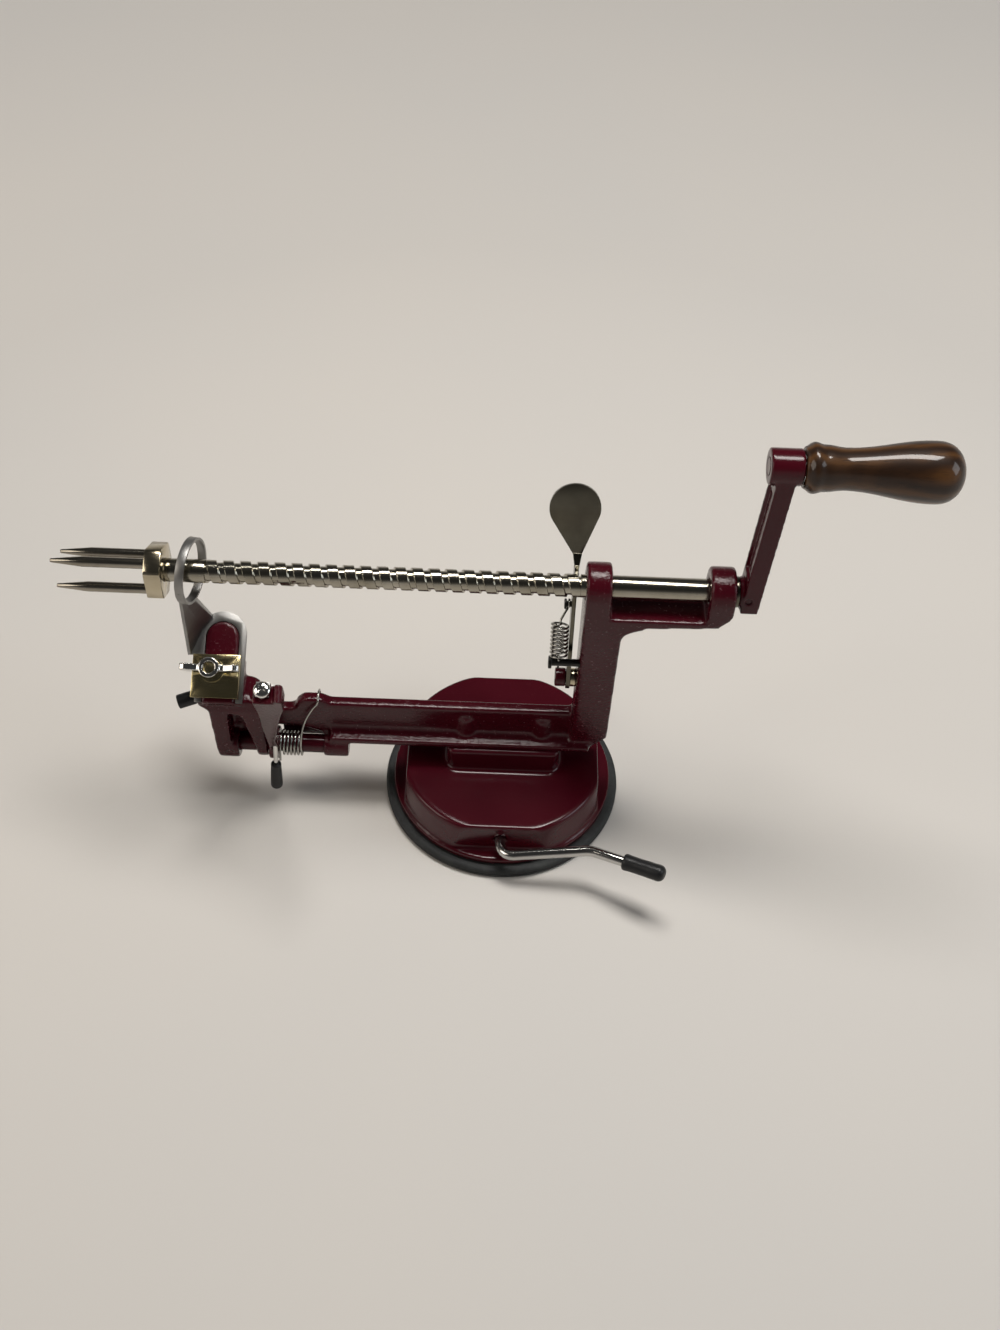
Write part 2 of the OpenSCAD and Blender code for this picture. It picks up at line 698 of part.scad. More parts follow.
module fork_head() color(nickel) translate([0, 0, shaft_z]) difference() {
    along_x(fork_x0, fork_t) intersection() {
        circle(fork_round_r);
        circle(2 * fork_flat, $fn = 3);
        rotate(180) circle(2 * fork_corner, $fn = 3);
    }
    rod_x(fork_x0 + shaft_seat, fork_x1 + 1, shaft_r + still_fit);
    for (k = [0:2]) rotate([120 * k, 0, 0])
        rod_x(fork_x0 - 1, fork_x0 + prong_seat, prong_d / 2 + still_fit, prong_circle);
}

module fork_prongs() color(nickel) translate([0, 0, shaft_z]) for (k = [0:2]) rotate([120 * k, 0, 0]) {
    straight = prong_l - prong_taper;
    rod_x(fork_x0 - straight, fork_x0 + prong_seat, prong_d / 2, prong_circle);
    translate([fork_x0 - straight, prong_circle, 0]) rotate([0, -90, 0])
        cylinder(h = prong_taper, r1 = prong_d / 2, r2 = prong_tip_d / 2);
}

module thrust_washer() color(nickel) difference() {
    rod_x(washer_x0, washer_x0 + washer_t, hub_r, 0, shaft_z);
    rod_x(washer_x0 - 1, washer_x0 + washer_t + 1, shaft_r + run_fit, 0, shaft_z);
}

module crank_pin_hole() on_crank() rod_y(-hub_r - 2, hub_r + 2, 1.25 + still_fit, hub_x0 + hub_l / 2, 0);

module crank_pin() color(steel) on_crank() rod_y(-hub_r + 0.5, hub_r - 0.5, 1.25, hub_x0 + hub_l / 2, 0);

module crank_outline(inset) {
    polygon([[crank_foot_x + inset, -hub_r], [crank_foot_x + crank_t, -hub_r],
        [crank_top_x + crank_t, crank_r], [crank_top_x + inset, crank_r]]);
}

module crank_arm() color(enamel) difference() {
    on_crank() difference() {
        union() {
            rod_x(hub_x0, hub_x0 + hub_l, hub_r);
            along_y(-crank_w / 2, crank_w / 2) crank_outline(0);
            rod_x(crank_boss_x0, crank_boss_x0 + crank_boss_l, crank_boss_r, 0, crank_r);
        }
        intersection() {
            along_y(-crank_w / 2 + 2, crank_w / 2 - 2)
                translate([-crank_t + crank_recess, 0]) crank_outline(0);
            translate([0, -crank_w, hub_r + 3]) cube([300, 2 * crank_w, crank_r - hub_r - crank_boss_r - 6]);
        }
        rod_x(crank_boss_x0 - 1, handle_x0, spindle_r + still_fit, 0, crank_r);
    }
    rod_x(hub_x0 - 1, shaft_x1 + still_fit, shaft_r + still_fit, 0, shaft_z);
    crank_pin_hole();
}

module handle_spindle() color(steel) on_crank()
    rod_x(crank_boss_x0, handle_x0 + spindle_reach, spindle_r, 0, crank_r);

// Smooth step of a handle's radius between two places along it
function blend(t, a, b) = a + (b - a) * (1 - cos(180 * t)) / 2;
function handle_r(s) =
    s < 3.5 ? blend(s / 3.5, 7.6, 9.2) :
    s < 7 ? blend((s - 3.5) / 3.5, 9.2, 8.4) :
    s < 15 ? blend((s - 7) / 8, 8.4, 7.6) :
    s < handle_l - 11 ? blend((s - 15) / (handle_l - 26), 7.6, handle_d / 2) :
    handle_d / 2 * sqrt(max(0, 1 - pow((s - handle_l + 11) / 11.02, 2.6)));

module wood_handle() color(walnut) on_crank() translate([handle_x0, 0, crank_r]) rotate([0, 90, 0])
difference() {
    rotate_extrude() polygon(concat([[0, 0]],
        [for (s = [0:1.4:handle_l - 1]) [handle_r(s), s]], [[2.6, handle_l - 0.1], [0, handle_l]]));
    translate([0, 0, -1]) cylinder(h = spindle_reach + 1 + clear, r = spindle_r + run_fit);
}

// Shaft release
module strip_outline() {
    translate([0, release_z]) rotate(-strip_lean) {
        circle(strip_foot);
        polygon([[-strip_foot, 0], [strip_foot, 0], [strip_head, strip_l], [-strip_head, strip_l]]);
    }
    translate([nib_reach, shaft_z - nib_h / 2]) square([strip_l * sin(strip_lean) - nib_reach, nib_h]);
}

module paddle_outline() {
    paddle_turn = 6;
    round_r = paddle_w / 2;
    centre = paddle_l - round_r;
    touch = acos((round_r - 1.7) / centre);
    rotate(paddle_turn) translate([0, centre]) circle(round_r);
    rotate(paddle_turn) polygon([[-1.7, 0], [1.7, 0], [round_r * sin(touch), centre - round_r * cos(touch)],
        [-round_r * sin(touch), centre - round_r * cos(touch)]]);
}

module release_lever() color(nickel) difference() {
    top_y = strip_l * sin(strip_lean);
    top_z = release_z + strip_l * cos(strip_lean);
    neck = 3.6;
    union() {
        along_x(strip_x0, strip_t) strip_outline();
        hull() {
            translate([release_x, top_y, top_z - 1]) cube([strip_t, 2 * strip_head - 0.6, 1], center = true);
            translate([release_x, top_y + neck * sin(paddle_lean), top_z + neck])
                cube([3.4, strip_t, 1], center = true);
        }
        translate([release_x, top_y + neck * sin(paddle_lean), top_z + neck]) rotate([90 - paddle_lean, 0, 0])
            translate([0, 0, -strip_t / 2]) linear_extrude(strip_t) paddle_outline();
    }
    rod_x(strip_x0 - 1, strip_x1 + 1, pivot_r + run_fit, 0, release_z);
    rod_x(strip_x0 - 1, strip_x1 + 1, stud_r + still_fit, lever_stud_y, lever_stud_z);
}

module release_pivot_screw() color(enamel) union() {
    rod_x(strip_x0 - 0.15 - pivot_head_l, strip_x0 - 0.15, pivot_head_r, 0, release_z);
    rod_x(strip_x0 - 0.2, post_x0 + 7.5, pivot_r, 0, release_z);
}

module release_bush() color(nickel) difference() {
    rod_x(strip_x1 + 0.1, post_x0, pivot_r + 1.8, 0, release_z);
    rod_x(strip_x1 - 1, post_x0 + 1, pivot_r + still_fit, 0, release_z);
}

module lever_stud() color(black_vinyl) union() {
    rod_x(stud_x - 1, strip_x1, stud_r, lever_stud_y, lever_stud_z);
    rod_x(stud_x - 1.9, stud_x - 1, stud_r + 0.9, lever_stud_y, lever_stud_z);
}

module anchor_pin() color(black_vinyl) union() {
    rod_x(spring_x - anchor_out, post_x0 + 5.5, anchor_r, anchor_y, anchor_z);
    rod_x(spring_x - anchor_out - 1.4, spring_x - anchor_out, anchor_head_r, anchor_y, anchor_z);
}

// Extension spring between the lever's stud and the anchor pin
release_dir = unit([0, anchor_y - lever_stud_y, anchor_z - lever_stud_z]);
release_side = cross(release_dir, [1, 0, 0]);
release_leg_a = 6.4;
release_leg_b = 2;
release_end_a = [stud_x, lever_stud_y, lever_stud_z] + release_dir * (stud_r + still_fit);
release_end_b = [spring_x, anchor_y, anchor_z] - release_dir * (anchor_r + still_fit);
release_start = [spring_x, release_end_a[1], release_end_a[2]];
release_len = norm(release_end_b - release_start) - release_leg_a - release_leg_b;
function release_point(t) = release_start + release_dir * (release_leg_a + release_len * t)
    + release_coil_r * min(1, 8 * min(t, 1 - t) * release_turns / 4)
    * ([1, 0, 0] * cos(360 * release_turns * t) + release_side * sin(360 * release_turns * t));
release_path = concat(
    [release_end_a, release_end_a + release_dir * wire_d],
    [for (i = [0:8 * release_turns]) release_point(i / (8 * release_turns))],
    [release_end_b - release_dir * wire_d, release_end_b]);
echo("release spring gap", least_gap(release_path, 6, wire_d));
module release_spring() color(steel) tube(release_path, wire_d / 2, [0.13, 0.31, 0.94]);

// Corer, slicer and clamp
module foot_outline(w, y0, y1) {
    translate([0, y1]) circle(w / 2);
    translate([-w / 2, y0]) square([w, y1 - y0]);
}

// A place on the coring ring, counted from its near side down and round
function on_ring(a) = let (r = ring_r - blade_t / 2)
    [ring_x - r * cos(a) * sin(ring_turn), -r * cos(a) * cos(ring_turn), shaft_z - r * sin(a)];

// Corners of the slanted plates between ring and foot: one kind at the ring, one on the seat
module ring_corner(a) { translate(on_ring(a)) cube(foot_t, center = true); }
module seat_corner(x, y) {
    on_seat() translate([x, y, seat_gap + foot_t / 2]) cube(foot_t, center = true);
}
module edge_corner() seat_corner(-foot_w / 2 - 3.4, clamp_y1 + foot_t / 2 + clear);
module strap_corner() seat_corner(-foot_w / 2 + foot_t, clamp_y1 + foot_t / 2 + clear);
module crease_corner() seat_corner(-foot_w / 2 + 1, arch_y + 2.8);
module arch_corner() seat_corner(-foot_w / 2 + 4.6, arch_y + 7.6);

module corer_blade() color(steel) union() {
    near = 2;
    low = 80;
    translate([ring_x, 0, shaft_z]) rotate([0, 0, -ring_turn]) difference() {
        rod_x(-ring_w / 2, ring_w / 2, ring_r);
        rod_x(-ring_w, ring_w, ring_r - blade_t);
    }
    difference() {
        union() {
            hull() { ring_corner(near); ring_corner(low); arch_corner(); }
            hull() { ring_corner(near); arch_corner(); crease_corner(); }
            hull() { ring_corner(near); crease_corner(); edge_corner(); }
            hull() { crease_corner(); edge_corner(); strap_corner(); }
        }
        rod_x(ring_x - 20, ring_x + 20, ring_r - blade_t, 0, shaft_z);
    }
    on_seat() translate([0, 0, seat_gap]) linear_extrude(foot_t) difference() {
        foot_outline(foot_w, foot_y0, arch_y);
        foot_outline(slot_w, foot_y0 - 1, slot_y);
    }
}

module clamp_plate() color(nickel) on_seat() difference() {
    union() {
        translate([clamp_dx - clamp_w / 2, clamp_y0, clamp_z0]) cube([clamp_w, clamp_y1 - clamp_y0, clamp_t]);
        for (x = [-foot_w / 2 + 0.1, clamp_dx + clamp_w / 2 - clamp_t])
            translate([x, clamp_y0, foot_t + 0.05])
            cube([clamp_t, clamp_y1 - clamp_y0, clamp_z0 - foot_t + bury]);
    }
    translate([bolt_x, bolt_y, 0]) cylinder(h = clamp_z0 + clamp_t + 1, r = bolt_r + 0.2);
}

module clamp_bolt() color(nickel) on_seat() translate([bolt_x, bolt_y, tongue_h - 6])
    cylinder(h = bolt_l + 6 - tongue_h, r = bolt_r);

module wing_nut() color(nickel) on_seat() translate([bolt_x, bolt_y, nut_z0]) rotate(wing_turn)
difference() {
    tip = wing_span / 2;
    union() {
        cylinder(h = nut_h, r1 = nut_r + 0.7, r2 = nut_r);
        for (s = [-1, 1]) scale([s, 1, 1]) along_y(-wing_t / 2, wing_t / 2)
            polygon([[2, 0.8], [nut_r + 1.5, 1.2], [tip - 1, 4.2], [tip, 5.6], [tip, 7.4],
                [tip - 2, 8.4], [nut_r + 1.5, 6.6], [2, nut_h - 0.3]]);
    }
    translate([0, 0, -1]) cylinder(h = nut_h + 2, r = bolt_r + run_fit);
}

module stop_pin() color(black_vinyl) stop_pin_place() union() {
    cylinder(h = stop_neck + 1, r = stop_r - 0.9);
    translate([0, 0, stop_neck]) cylinder(h = stop_l - stop_neck, r = stop_r);
}

// Peeling arm
module arm_side() {
    polygon([[arm_hub_x0, 0], [arm_hub_x0 + 1.3, arm_root_l - 6], [arm_hub_x0 + 2.7, peel_arm_l - arm_bend_l],
        [head_x0 - 0.3, peel_arm_l - arm_shoulder_l], [head_x0, peel_arm_l - arm_neck_l],
        [head_x0, peel_arm_l], [head_x1 + 0.6, peel_arm_l], [head_x1 + 0.8, peel_arm_l + finger_rise - 0.8],
        [head_x1 + 1.6, peel_arm_l + finger_rise], [finger_x1 - 1.2, peel_arm_l + finger_rise],
        [finger_x1, peel_arm_l + finger_rise - 1.4], [finger_x1 - 0.6, peel_arm_l - arm_neck_l],
        [finger_x1 - 3.4, peel_arm_l - arm_shoulder_l], [finger_x1 - 6.2, peel_arm_l - arm_bend_l],
        [finger_x1 - 8.8, peel_arm_l - arm_knee_l], [arm_hub_x1 + 1, arm_root_l],
        [arm_hub_x1 + 1, arm_hub_r + 1.6], [arm_hub_x1, arm_hub_r + 0.8], [arm_hub_x1, 0]]);
}

module arm_rod_place() { translate([rod_x, rod_y, rod_z]) rotate([0, rod_lean, 0]) children(); }

module peeler_arm() color(enamel) difference() {
    on_arm() difference() {
        union() {
            rod_x(arm_hub_x0, arm_hub_x1, arm_hub_r);
            along_y(arm_front, arm_back) arm_side();
        }
        rod_x(arm_hub_x0 - 1, arm_hub_x1 + 1, bar_r + run_fit);
        translate([blade_screw_x, 0, peel_arm_l - 8]) cylinder(h = 9, r = blade_screw_r + still_fit);
    }
    arm_rod_place() cylinder(h = rod_l + still_fit, r = rod_r + still_fit);
}

module peel_blade() color(steel) on_arm() difference() {
    back = arm_back + clear;
    half = blade_head_r - 0.7;
    union() {
        translate([blade_screw_x - half, -half, peel_arm_l + 0.02])
            cube([2 * half, half + back + peel_t, peel_t]);
        translate([blade_screw_x - half, back, peel_arm_l + peel_t - peel_h])
            cube([2 * half, peel_t, peel_h]);
        hull() for (z = [0, 1.6])
            translate([blade_screw_x - half, back, peel_arm_l + peel_t - peel_h - z + 0.8])
            cube([2 * half, peel_t + 1.2 - 0.7 * z, 0.2]);
    }
    translate([blade_screw_x, 0, peel_arm_l - 1]) cylinder(h = 3, r = blade_screw_r + 0.1);
}

module peel_blade_screw() color(nickel) on_arm() difference() {
    union() {
        translate([blade_screw_x, 0, peel_arm_l - 7]) cylinder(h = 8, r = blade_screw_r);
        translate([blade_screw_x, 0, peel_arm_l + peel_t + 0.05]) rotate_extrude()
            polygon(concat([[0, 0], [blade_head_r, 0], [blade_head_r, 0.9]],
                [for (a = [20:20:80]) [blade_head_r * cos(a), 0.9 + 1.3 * sin(a)]], [[0, 2.2]]));
    }
    for (turn = [0, 90]) translate([blade_screw_x, 0, peel_arm_l + peel_t + 2]) rotate(turn + 45)
        cube([3.6, 0.8, 1.8], center = true);
}

module arm_rod() color(steel) arm_rod_place() translate([0, 0, 4]) cylinder(h = rod_l - 4, r = rod_r);

module rod_tip() color(black_vinyl) arm_rod_place() difference() {
    rotate_extrude() polygon(concat([[0, 0]],
        [for (a = [-90:15:0]) [tip_r - 1.2 + 1.2 * cos(a), 1.2 + 1.2 * sin(a)]],
        [[tip_r - 0.4, tip_l - 0.6], [tip_r - 1, tip_l], [0, tip_l]]));
    translate([0, 0, 4 - still_fit]) cylinder(h = tip_l, r = rod_r + still_fit);
}

// Torsion spring round the bar: one leg hooks over the block on the frame, the other pushes on the arm's rod
coil_a0 = 30;
coil_turns = arm_spring_turns - coil_a0 / 360;
function coil_point(t) = let (a = coil_a0 + 360 * coil_turns * t) [coil_x0 + coil_pitch * coil_turns * t,
    bar_y - coil_r * cos(a), bar_z + coil_r * sin(a)];
coil_end = coil_point(1);
coil_leg = [0, -sin(coil_a0), -cos(coil_a0)];
hook_in = 9;
hook_x = lug_x0 + hook_in;
hook_off = wire_d / 2 + clear;
hook_drop = 5;
hook_rise = 12;
leg_l = 6.4;
leg_straight = 4;
arm_spring_path = concat(
    [for (l = [leg_l, leg_l - 1, leg_straight]) coil_point(0) + l * coil_leg],
    [for (i = [0:8 * arm_spring_turns]) coil_point(i / (8 * arm_spring_turns))],
    [coil_end + [0, 0, leg_straight], [hook_x - 1, -web_t / 2 - 3.4, lug_top - hook_rise],
     [hook_x, -web_t / 2 - hook_off, lug_top - hook_drop],
     [hook_x, -web_t / 2 - hook_off, lug_top], [hook_x, -web_t / 2, lug_top + hook_off],
     [hook_x, 0, lug_top + hook_off + 0.9], [hook_x, web_t / 2, lug_top + hook_off],
     [hook_x, web_t / 2 + hook_off, lug_top], [hook_x, web_t / 2 + hook_off, lug_top - hook_drop + 1],
     [hook_x, web_t / 2 + hook_off, lug_top - hook_drop]]);
echo("arm spring gap", least_gap(arm_spring_path, 6, wire_d));
module arm_spring() color(steel) tube(arm_spring_path, wire_d / 2, [0.94, 0.21, 0.13]);

base_dome();
suction_pad();
pull_stud();
lever_rod();
lever_cam();
lever_cap();
frame_casting();
frame_screws();
pivot_bar();
bar_pin();
drive_shaft();
fork_head();
fork_prongs();
thrust_washer();
crank_arm();
crank_pin();
handle_spindle();
wood_handle();
release_lever();
release_pivot_screw();
release_bush();
lever_stud();
anchor_pin();
release_spring();
stop_pin();
corer_blade();
clamp_plate();
clamp_bolt();
wing_nut();
peeler_arm();
peel_blade();
peel_blade_screw();
arm_rod();
rod_tip();
arm_spring();
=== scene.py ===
# %% [markdown]
# # An apple peeler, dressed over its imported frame
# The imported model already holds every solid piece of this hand-cranked apple peeler in its true place, in
# metres: X runs along the drive shaft towards the crank, Y points away from the user and Z is up. This
# lesson keeps that frame as it is and gives each piece the surface that the real one has: rounded castings
# under burgundy enamel, a cut thread, bent spring wire, plated steel, moulded rubber and turned wood.

# %% Load the frame and remember its size
import json
import math

import bmesh
import bpy
from mathutils import Matrix, Vector


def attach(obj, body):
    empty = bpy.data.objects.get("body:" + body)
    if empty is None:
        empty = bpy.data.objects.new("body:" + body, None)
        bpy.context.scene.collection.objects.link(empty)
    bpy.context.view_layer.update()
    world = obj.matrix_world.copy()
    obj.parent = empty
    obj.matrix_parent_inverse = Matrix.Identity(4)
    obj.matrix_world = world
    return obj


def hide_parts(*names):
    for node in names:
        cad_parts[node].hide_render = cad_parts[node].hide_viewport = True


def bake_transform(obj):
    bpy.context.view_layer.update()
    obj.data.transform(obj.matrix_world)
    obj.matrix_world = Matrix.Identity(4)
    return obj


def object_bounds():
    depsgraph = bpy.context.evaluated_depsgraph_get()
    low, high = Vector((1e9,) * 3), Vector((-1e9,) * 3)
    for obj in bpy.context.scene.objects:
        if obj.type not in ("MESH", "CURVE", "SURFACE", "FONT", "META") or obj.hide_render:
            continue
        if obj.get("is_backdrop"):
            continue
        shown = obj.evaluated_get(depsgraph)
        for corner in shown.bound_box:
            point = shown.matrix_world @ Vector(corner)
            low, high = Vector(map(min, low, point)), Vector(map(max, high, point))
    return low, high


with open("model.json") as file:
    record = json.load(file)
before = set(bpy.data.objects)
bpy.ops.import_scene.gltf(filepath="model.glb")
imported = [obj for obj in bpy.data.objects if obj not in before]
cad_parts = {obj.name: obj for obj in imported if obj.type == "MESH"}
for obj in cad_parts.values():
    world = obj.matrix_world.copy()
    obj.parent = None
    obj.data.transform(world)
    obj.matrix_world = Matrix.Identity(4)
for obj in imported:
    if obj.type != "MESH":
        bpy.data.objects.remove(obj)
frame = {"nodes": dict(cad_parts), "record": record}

MM = 0.001
cad_box = [[float(value) for value in corner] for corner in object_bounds()]
record = frame["record"]
body_of_node = {node: body for body, nodes in record["behaviour"]["bodies"].items() for node in nodes}

# %% [markdown]
# ## The camera
# The photograph looks down on the tool from the user's side. A camera can be aimed with a constraint, but
# here its eye point and its three angles were matched to straight edges and circles of the real thing, so
# the turn is built from those angles: straight ahead, level to the right, and a small roll about the line
# of sight.

# %% Set up the photograph's camera
eye = Vector((-6.1, -382.86, 520.65)) * MM
yaw = math.radians(0.47)
pitch = math.radians(49.1)
roll = math.radians(-2.55)
focal_pixels = 1444
image_height = 1330

ahead = Vector((math.sin(yaw) * math.cos(pitch), math.cos(yaw) * math.cos(pitch), -math.sin(pitch)))
level = Vector((math.cos(yaw), -math.sin(yaw), 0))
below = ahead.cross(level)
right = math.cos(roll) * level + math.sin(roll) * below
down = math.cos(roll) * below - math.sin(roll) * level
turn = Matrix((right, -down, -ahead)).transposed().to_4x4()

lens = bpy.data.cameras.new("photo_camera")
lens.sensor_fit = "AUTO"
lens.sensor_width = 36
lens.lens = focal_pixels * lens.sensor_width / image_height
camera = bpy.data.objects.new("photo_camera", lens)
camera.matrix_world = Matrix.Translation(eye) @ turn
bpy.context.scene.collection.objects.link(camera)
bpy.context.scene.camera = camera
bpy.context.scene.view_settings.view_transform = "Standard"
print("camera:", round(lens.lens, 2), "mm lens at", [round(value, 3) for value in eye])

# %% [markdown]
# ## Shader sums in Python
# A finish is a small network of nodes. Drawn by hand it soon becomes a tangle, so one class wraps a socket
# and lets it be added and multiplied as a number would be, and another class holds a material and makes any
# node from its type, its settings and what goes into its sockets.

# %% Wrap sockets and materials
class Wire:
    """A socket of a shader node that can be used in sums."""

    def __init__(self, recipe, socket):
        self.recipe = recipe
        self.socket = socket

    def worked(self, operation, first, second):
        return self.recipe.node("ShaderNodeMath", {"operation": operation}, {0: first, 1: second})

    def __add__(self, other):
        return self.worked("ADD", self, other)

    def __radd__(self, other):
        return self.worked("ADD", other, self)

    def __mul__(self, other):
        return self.worked("MULTIPLY", self, other)

    def __rmul__(self, other):
        return self.worked("MULTIPLY", other, self)


class Recipe:
    """One finish, or the room round the tool: its shader and the nodes that feed it."""

    def __init__(self, name, room=None):
        self.holder = room or bpy.data.materials.new(name)
        self.holder.use_nodes = True
        self.tree = self.holder.node_tree
        self.shader = self.tree.nodes["Background" if room else "Principled BSDF"]

    def join(self, socket, value):
        if isinstance(value, Wire):
            self.tree.links.new(value.socket, socket)
        else:
            socket.default_value = value

    def node(self, kind, settings, sockets, output=0):
        made = self.tree.nodes.new(kind)
        for key, value in settings.items():
            if key == "stops":
                while len(made.color_ramp.elements) < len(value):
                    made.color_ramp.elements.new(1)
                for stop, (place, colour) in zip(made.color_ramp.elements, value):
                    stop.position = place
                    stop.color = colour
            else:
                setattr(made, key, value)
        for key, value in sockets.items():
            self.join(made.inputs[key], value)
        return Wire(self, made.outputs[output])

    def place(self, stretch=(1, 1, 1), shift=(0, 0, 0), spin=(0, 0, 0)):
        own = self.node("ShaderNodeTexCoord", {}, {}, "Object")
        fit = {"Vector": own, "Location": shift, "Rotation": spin, "Scale": stretch}
        return self.node("ShaderNodeMapping", {"vector_type": "POINT"}, fit)

    def noise(self, where, scale, detail=2.0, rough=0.5):
        values = {"Vector": where, "Scale": scale, "Detail": detail, "Roughness": rough}
        return self.node("ShaderNodeTexNoise", {}, values, 0)

    def between(self, value, low, high):
        stops = [(low, (0, 0, 0, 1)), (high, (1, 1, 1, 1))]
        return self.node("ShaderNodeValToRGB", {"stops": stops}, {"Fac": value})

    def mix(self, share, first, second):
        return self.node("ShaderNodeMix", {"data_type": "RGBA"}, {0: share, 6: first, 7: second}, 2)

    def bump(self, height, strength, depth):
        values = {"Strength": strength, "Distance": depth, "Height": height}
        return self.node("ShaderNodeBump", {}, values)

    def finish(self, sockets):
        for key, value in sockets.items():
            self.join(self.shader.inputs[key], value)
        return self.holder


# %% [markdown]
# ## Burgundy enamel
# The castings are sprayed with a deep burgundy gloss. On the machined-looking base and crank it lies
# smooth, and on the beam the sand of the mould shows through as fine pits. One recipe makes both: slow
# noise shifts the depth of the colour, fine noise makes the pits rougher and paints them lighter as glints
# of light, and a number says how much sand and glint shows.

# %% Make the enamel
def burgundy_enamel(name, sand):
    paint = Recipe(name)
    place = paint.place()
    cloud = paint.noise(place, 38, 2.0)
    lumps = paint.noise(place, 190, 2.0, 0.55)
    grains = paint.noise(place, 760, 3.0, 0.6)
    deep = paint.mix(cloud, (0.034, 0.0018, 0.0050, 1), (0.060, 0.0032, 0.0085, 1))
    # Painted glints: the pits are lightened towards a pale pink, as if they caught the light.
    pits_and_painted_glints = paint.between(grains, 0.60, 0.74) * sand
    colour = paint.mix(pits_and_painted_glints * 0.42, deep, (0.170, 0.070, 0.080, 1))
    rough = 0.13 + cloud * 0.07 + pits_and_painted_glints * 0.20
    height = lumps * 0.55 + grains * (0.15 + 0.85 * sand)
    skin = paint.bump(height, 0.10 + 0.38 * sand, 0.00034)
    return paint.finish({
        "Base Color": colour, "Roughness": rough, "Normal": skin, "Specular IOR Level": 0.32,
    })


enamel_smooth = burgundy_enamel("burgundy_enamel_smooth", 0.10)
enamel_sand = burgundy_enamel("burgundy_enamel_sand", 1.0)
print("finishes:", enamel_smooth.name, enamel_sand.name)

# %% [markdown]
# ## Plated and bare metal
# Plating is a mirror with a tint. The shaft is nickel with the fine rings that turning leaves, the clamp
# has a warmer, golden plate, the prongs are darker, and the blade is brushed. The release strip and the
# crank's washer get a near-black tint instead: painted shade and a painted dark reflection of the room
# they face. Other metals get their look from what they reflect, so the recipe only tints them and makes
# the gloss uneven, with scratches along one direction. The stretch of the noise along X, Y and Z gives that
# direction.

# %% Make the metals
def plated(name, pale, dark, gloss, stretch, scratch):
    metal = Recipe(name)
    place = metal.place()
    smudge = metal.noise(place, 70, 3.0, 0.6)
    lines = metal.noise(metal.place(stretch), 1.0, 3.0, 0.7)
    tint = metal.mix(metal.between(smudge, 0.30, 0.75), (*pale, 1), (*dark, 1))
    rough = gloss + smudge * 0.10 + lines * 0.08
    skin = metal.bump(lines, scratch, 0.00005)
    return metal.finish({"Base Color": tint, "Metallic": 1.0, "Roughness": rough, "Normal": skin})


turned_rings = (2600, 30, 30)
strip_lines = (260, 900, 900)
plate_lines = (300, 700, 700)
blade_lines = (120, 1500, 1500)
every_way = (300, 300, 300)
fine_every_way = (900, 900, 900)
middling_every_way = (700, 700, 700)

nickel_turned = plated(
    "nickel_turned", (0.43, 0.405, 0.345), (0.29, 0.265, 0.205), 0.06, turned_rings, 0.25
)
nickel_flat = plated("nickel_flat", (0.56, 0.50, 0.38), (0.42, 0.36, 0.24), 0.07, strip_lines, 0.10)
# Near-black tint: painted shade and a painted dark reflection, for the release strip and the crank's
# washer.
nickel_painted_shade = plated("nickel_painted_shade", (0.135, 0.125, 0.098), (0.088, 0.080, 0.062), 0.10, strip_lines, 0.10)
prong_steel = plated("prong_steel", (0.36, 0.33, 0.28), (0.24, 0.22, 0.18), 0.08, turned_rings, 0.25)
nickel_gold = plated("nickel_gold", (0.64, 0.55, 0.32), (0.50, 0.41, 0.20), 0.08, plate_lines, 0.12)
chrome_bright = plated("chrome_bright", (0.80, 0.79, 0.77), (0.68, 0.67, 0.65), 0.03, every_way, 0.05)
blade_brushed = plated("blade_brushed", (0.31, 0.305, 0.295), (0.22, 0.215, 0.21), 0.32, blade_lines, 0.30)
lever_plate = plated("lever_plate", (0.54, 0.53, 0.51), (0.42, 0.41, 0.395), 0.05, every_way, 0.05)
spring_bright = plated("spring_bright", (0.46, 0.45, 0.42), (0.30, 0.29, 0.27), 0.10, fine_every_way, 0.10)
steel_plain = plated("steel_plain", (0.52, 0.52, 0.51), (0.40, 0.40, 0.39), 0.24, fine_every_way, 0.20)
steel_black = plated(
    "steel_black", (0.060, 0.058, 0.055), (0.030, 0.029, 0.028), 0.22, middling_every_way, 0.20
)
print("metals:", nickel_turned.name, nickel_gold.name, blade_brushed.name)

# %% [markdown]
# ## Vinyl and rubber
# The lever's cap and the rod's tip are dipped in black vinyl, which is smooth with a slight orange skin.
# The pad is dull grey rubber with a bloom of dust. Both are soft plastics with no metal in them; only the
# roughness, the grain and the bloom differ, so one recipe serves with different numbers.

# %% Make the vinyl and the rubber
def moulded(name, base, bloom, gloss, spread, grain, depth):
    skin = Recipe(name)
    place = skin.place()
    cloud = skin.noise(place, 55, 4.0, 0.65)
    fine = skin.noise(place, grain, 3.0, 0.6)
    colour = skin.mix(skin.between(cloud, 0.42, 0.78) * 0.6 + fine * 0.15, (*base, 1), (*bloom, 1))
    rough = gloss + cloud * spread
    return skin.finish({
        "Base Color": colour, "Roughness": rough, "Normal": skin.bump(fine, 0.35, depth),
        "Specular IOR Level": 0.3,
    })


vinyl_black = moulded("vinyl_black", (0.009, 0.009, 0.010), (0.022, 0.022, 0.023), 0.26, 0.22, 420, 0.00012)
rubber_grey = moulded("rubber_grey", (0.015, 0.016, 0.017), (0.075, 0.080, 0.078), 0.55, 0.25, 900, 0.00020)
print("soft finishes:", vinyl_black.name, rubber_grey.name)

# %% [markdown]
# ## Stained wood
# The handle is turned from one stick, so its grain runs along the handle and its growth rings show as long
# streaks that widen over the belly. Rings round an axis beside the handle's own give that, bent a little by
# noise; dark pores lie along the grain, and a coat of lacquer over it all gives the sharp highlight.

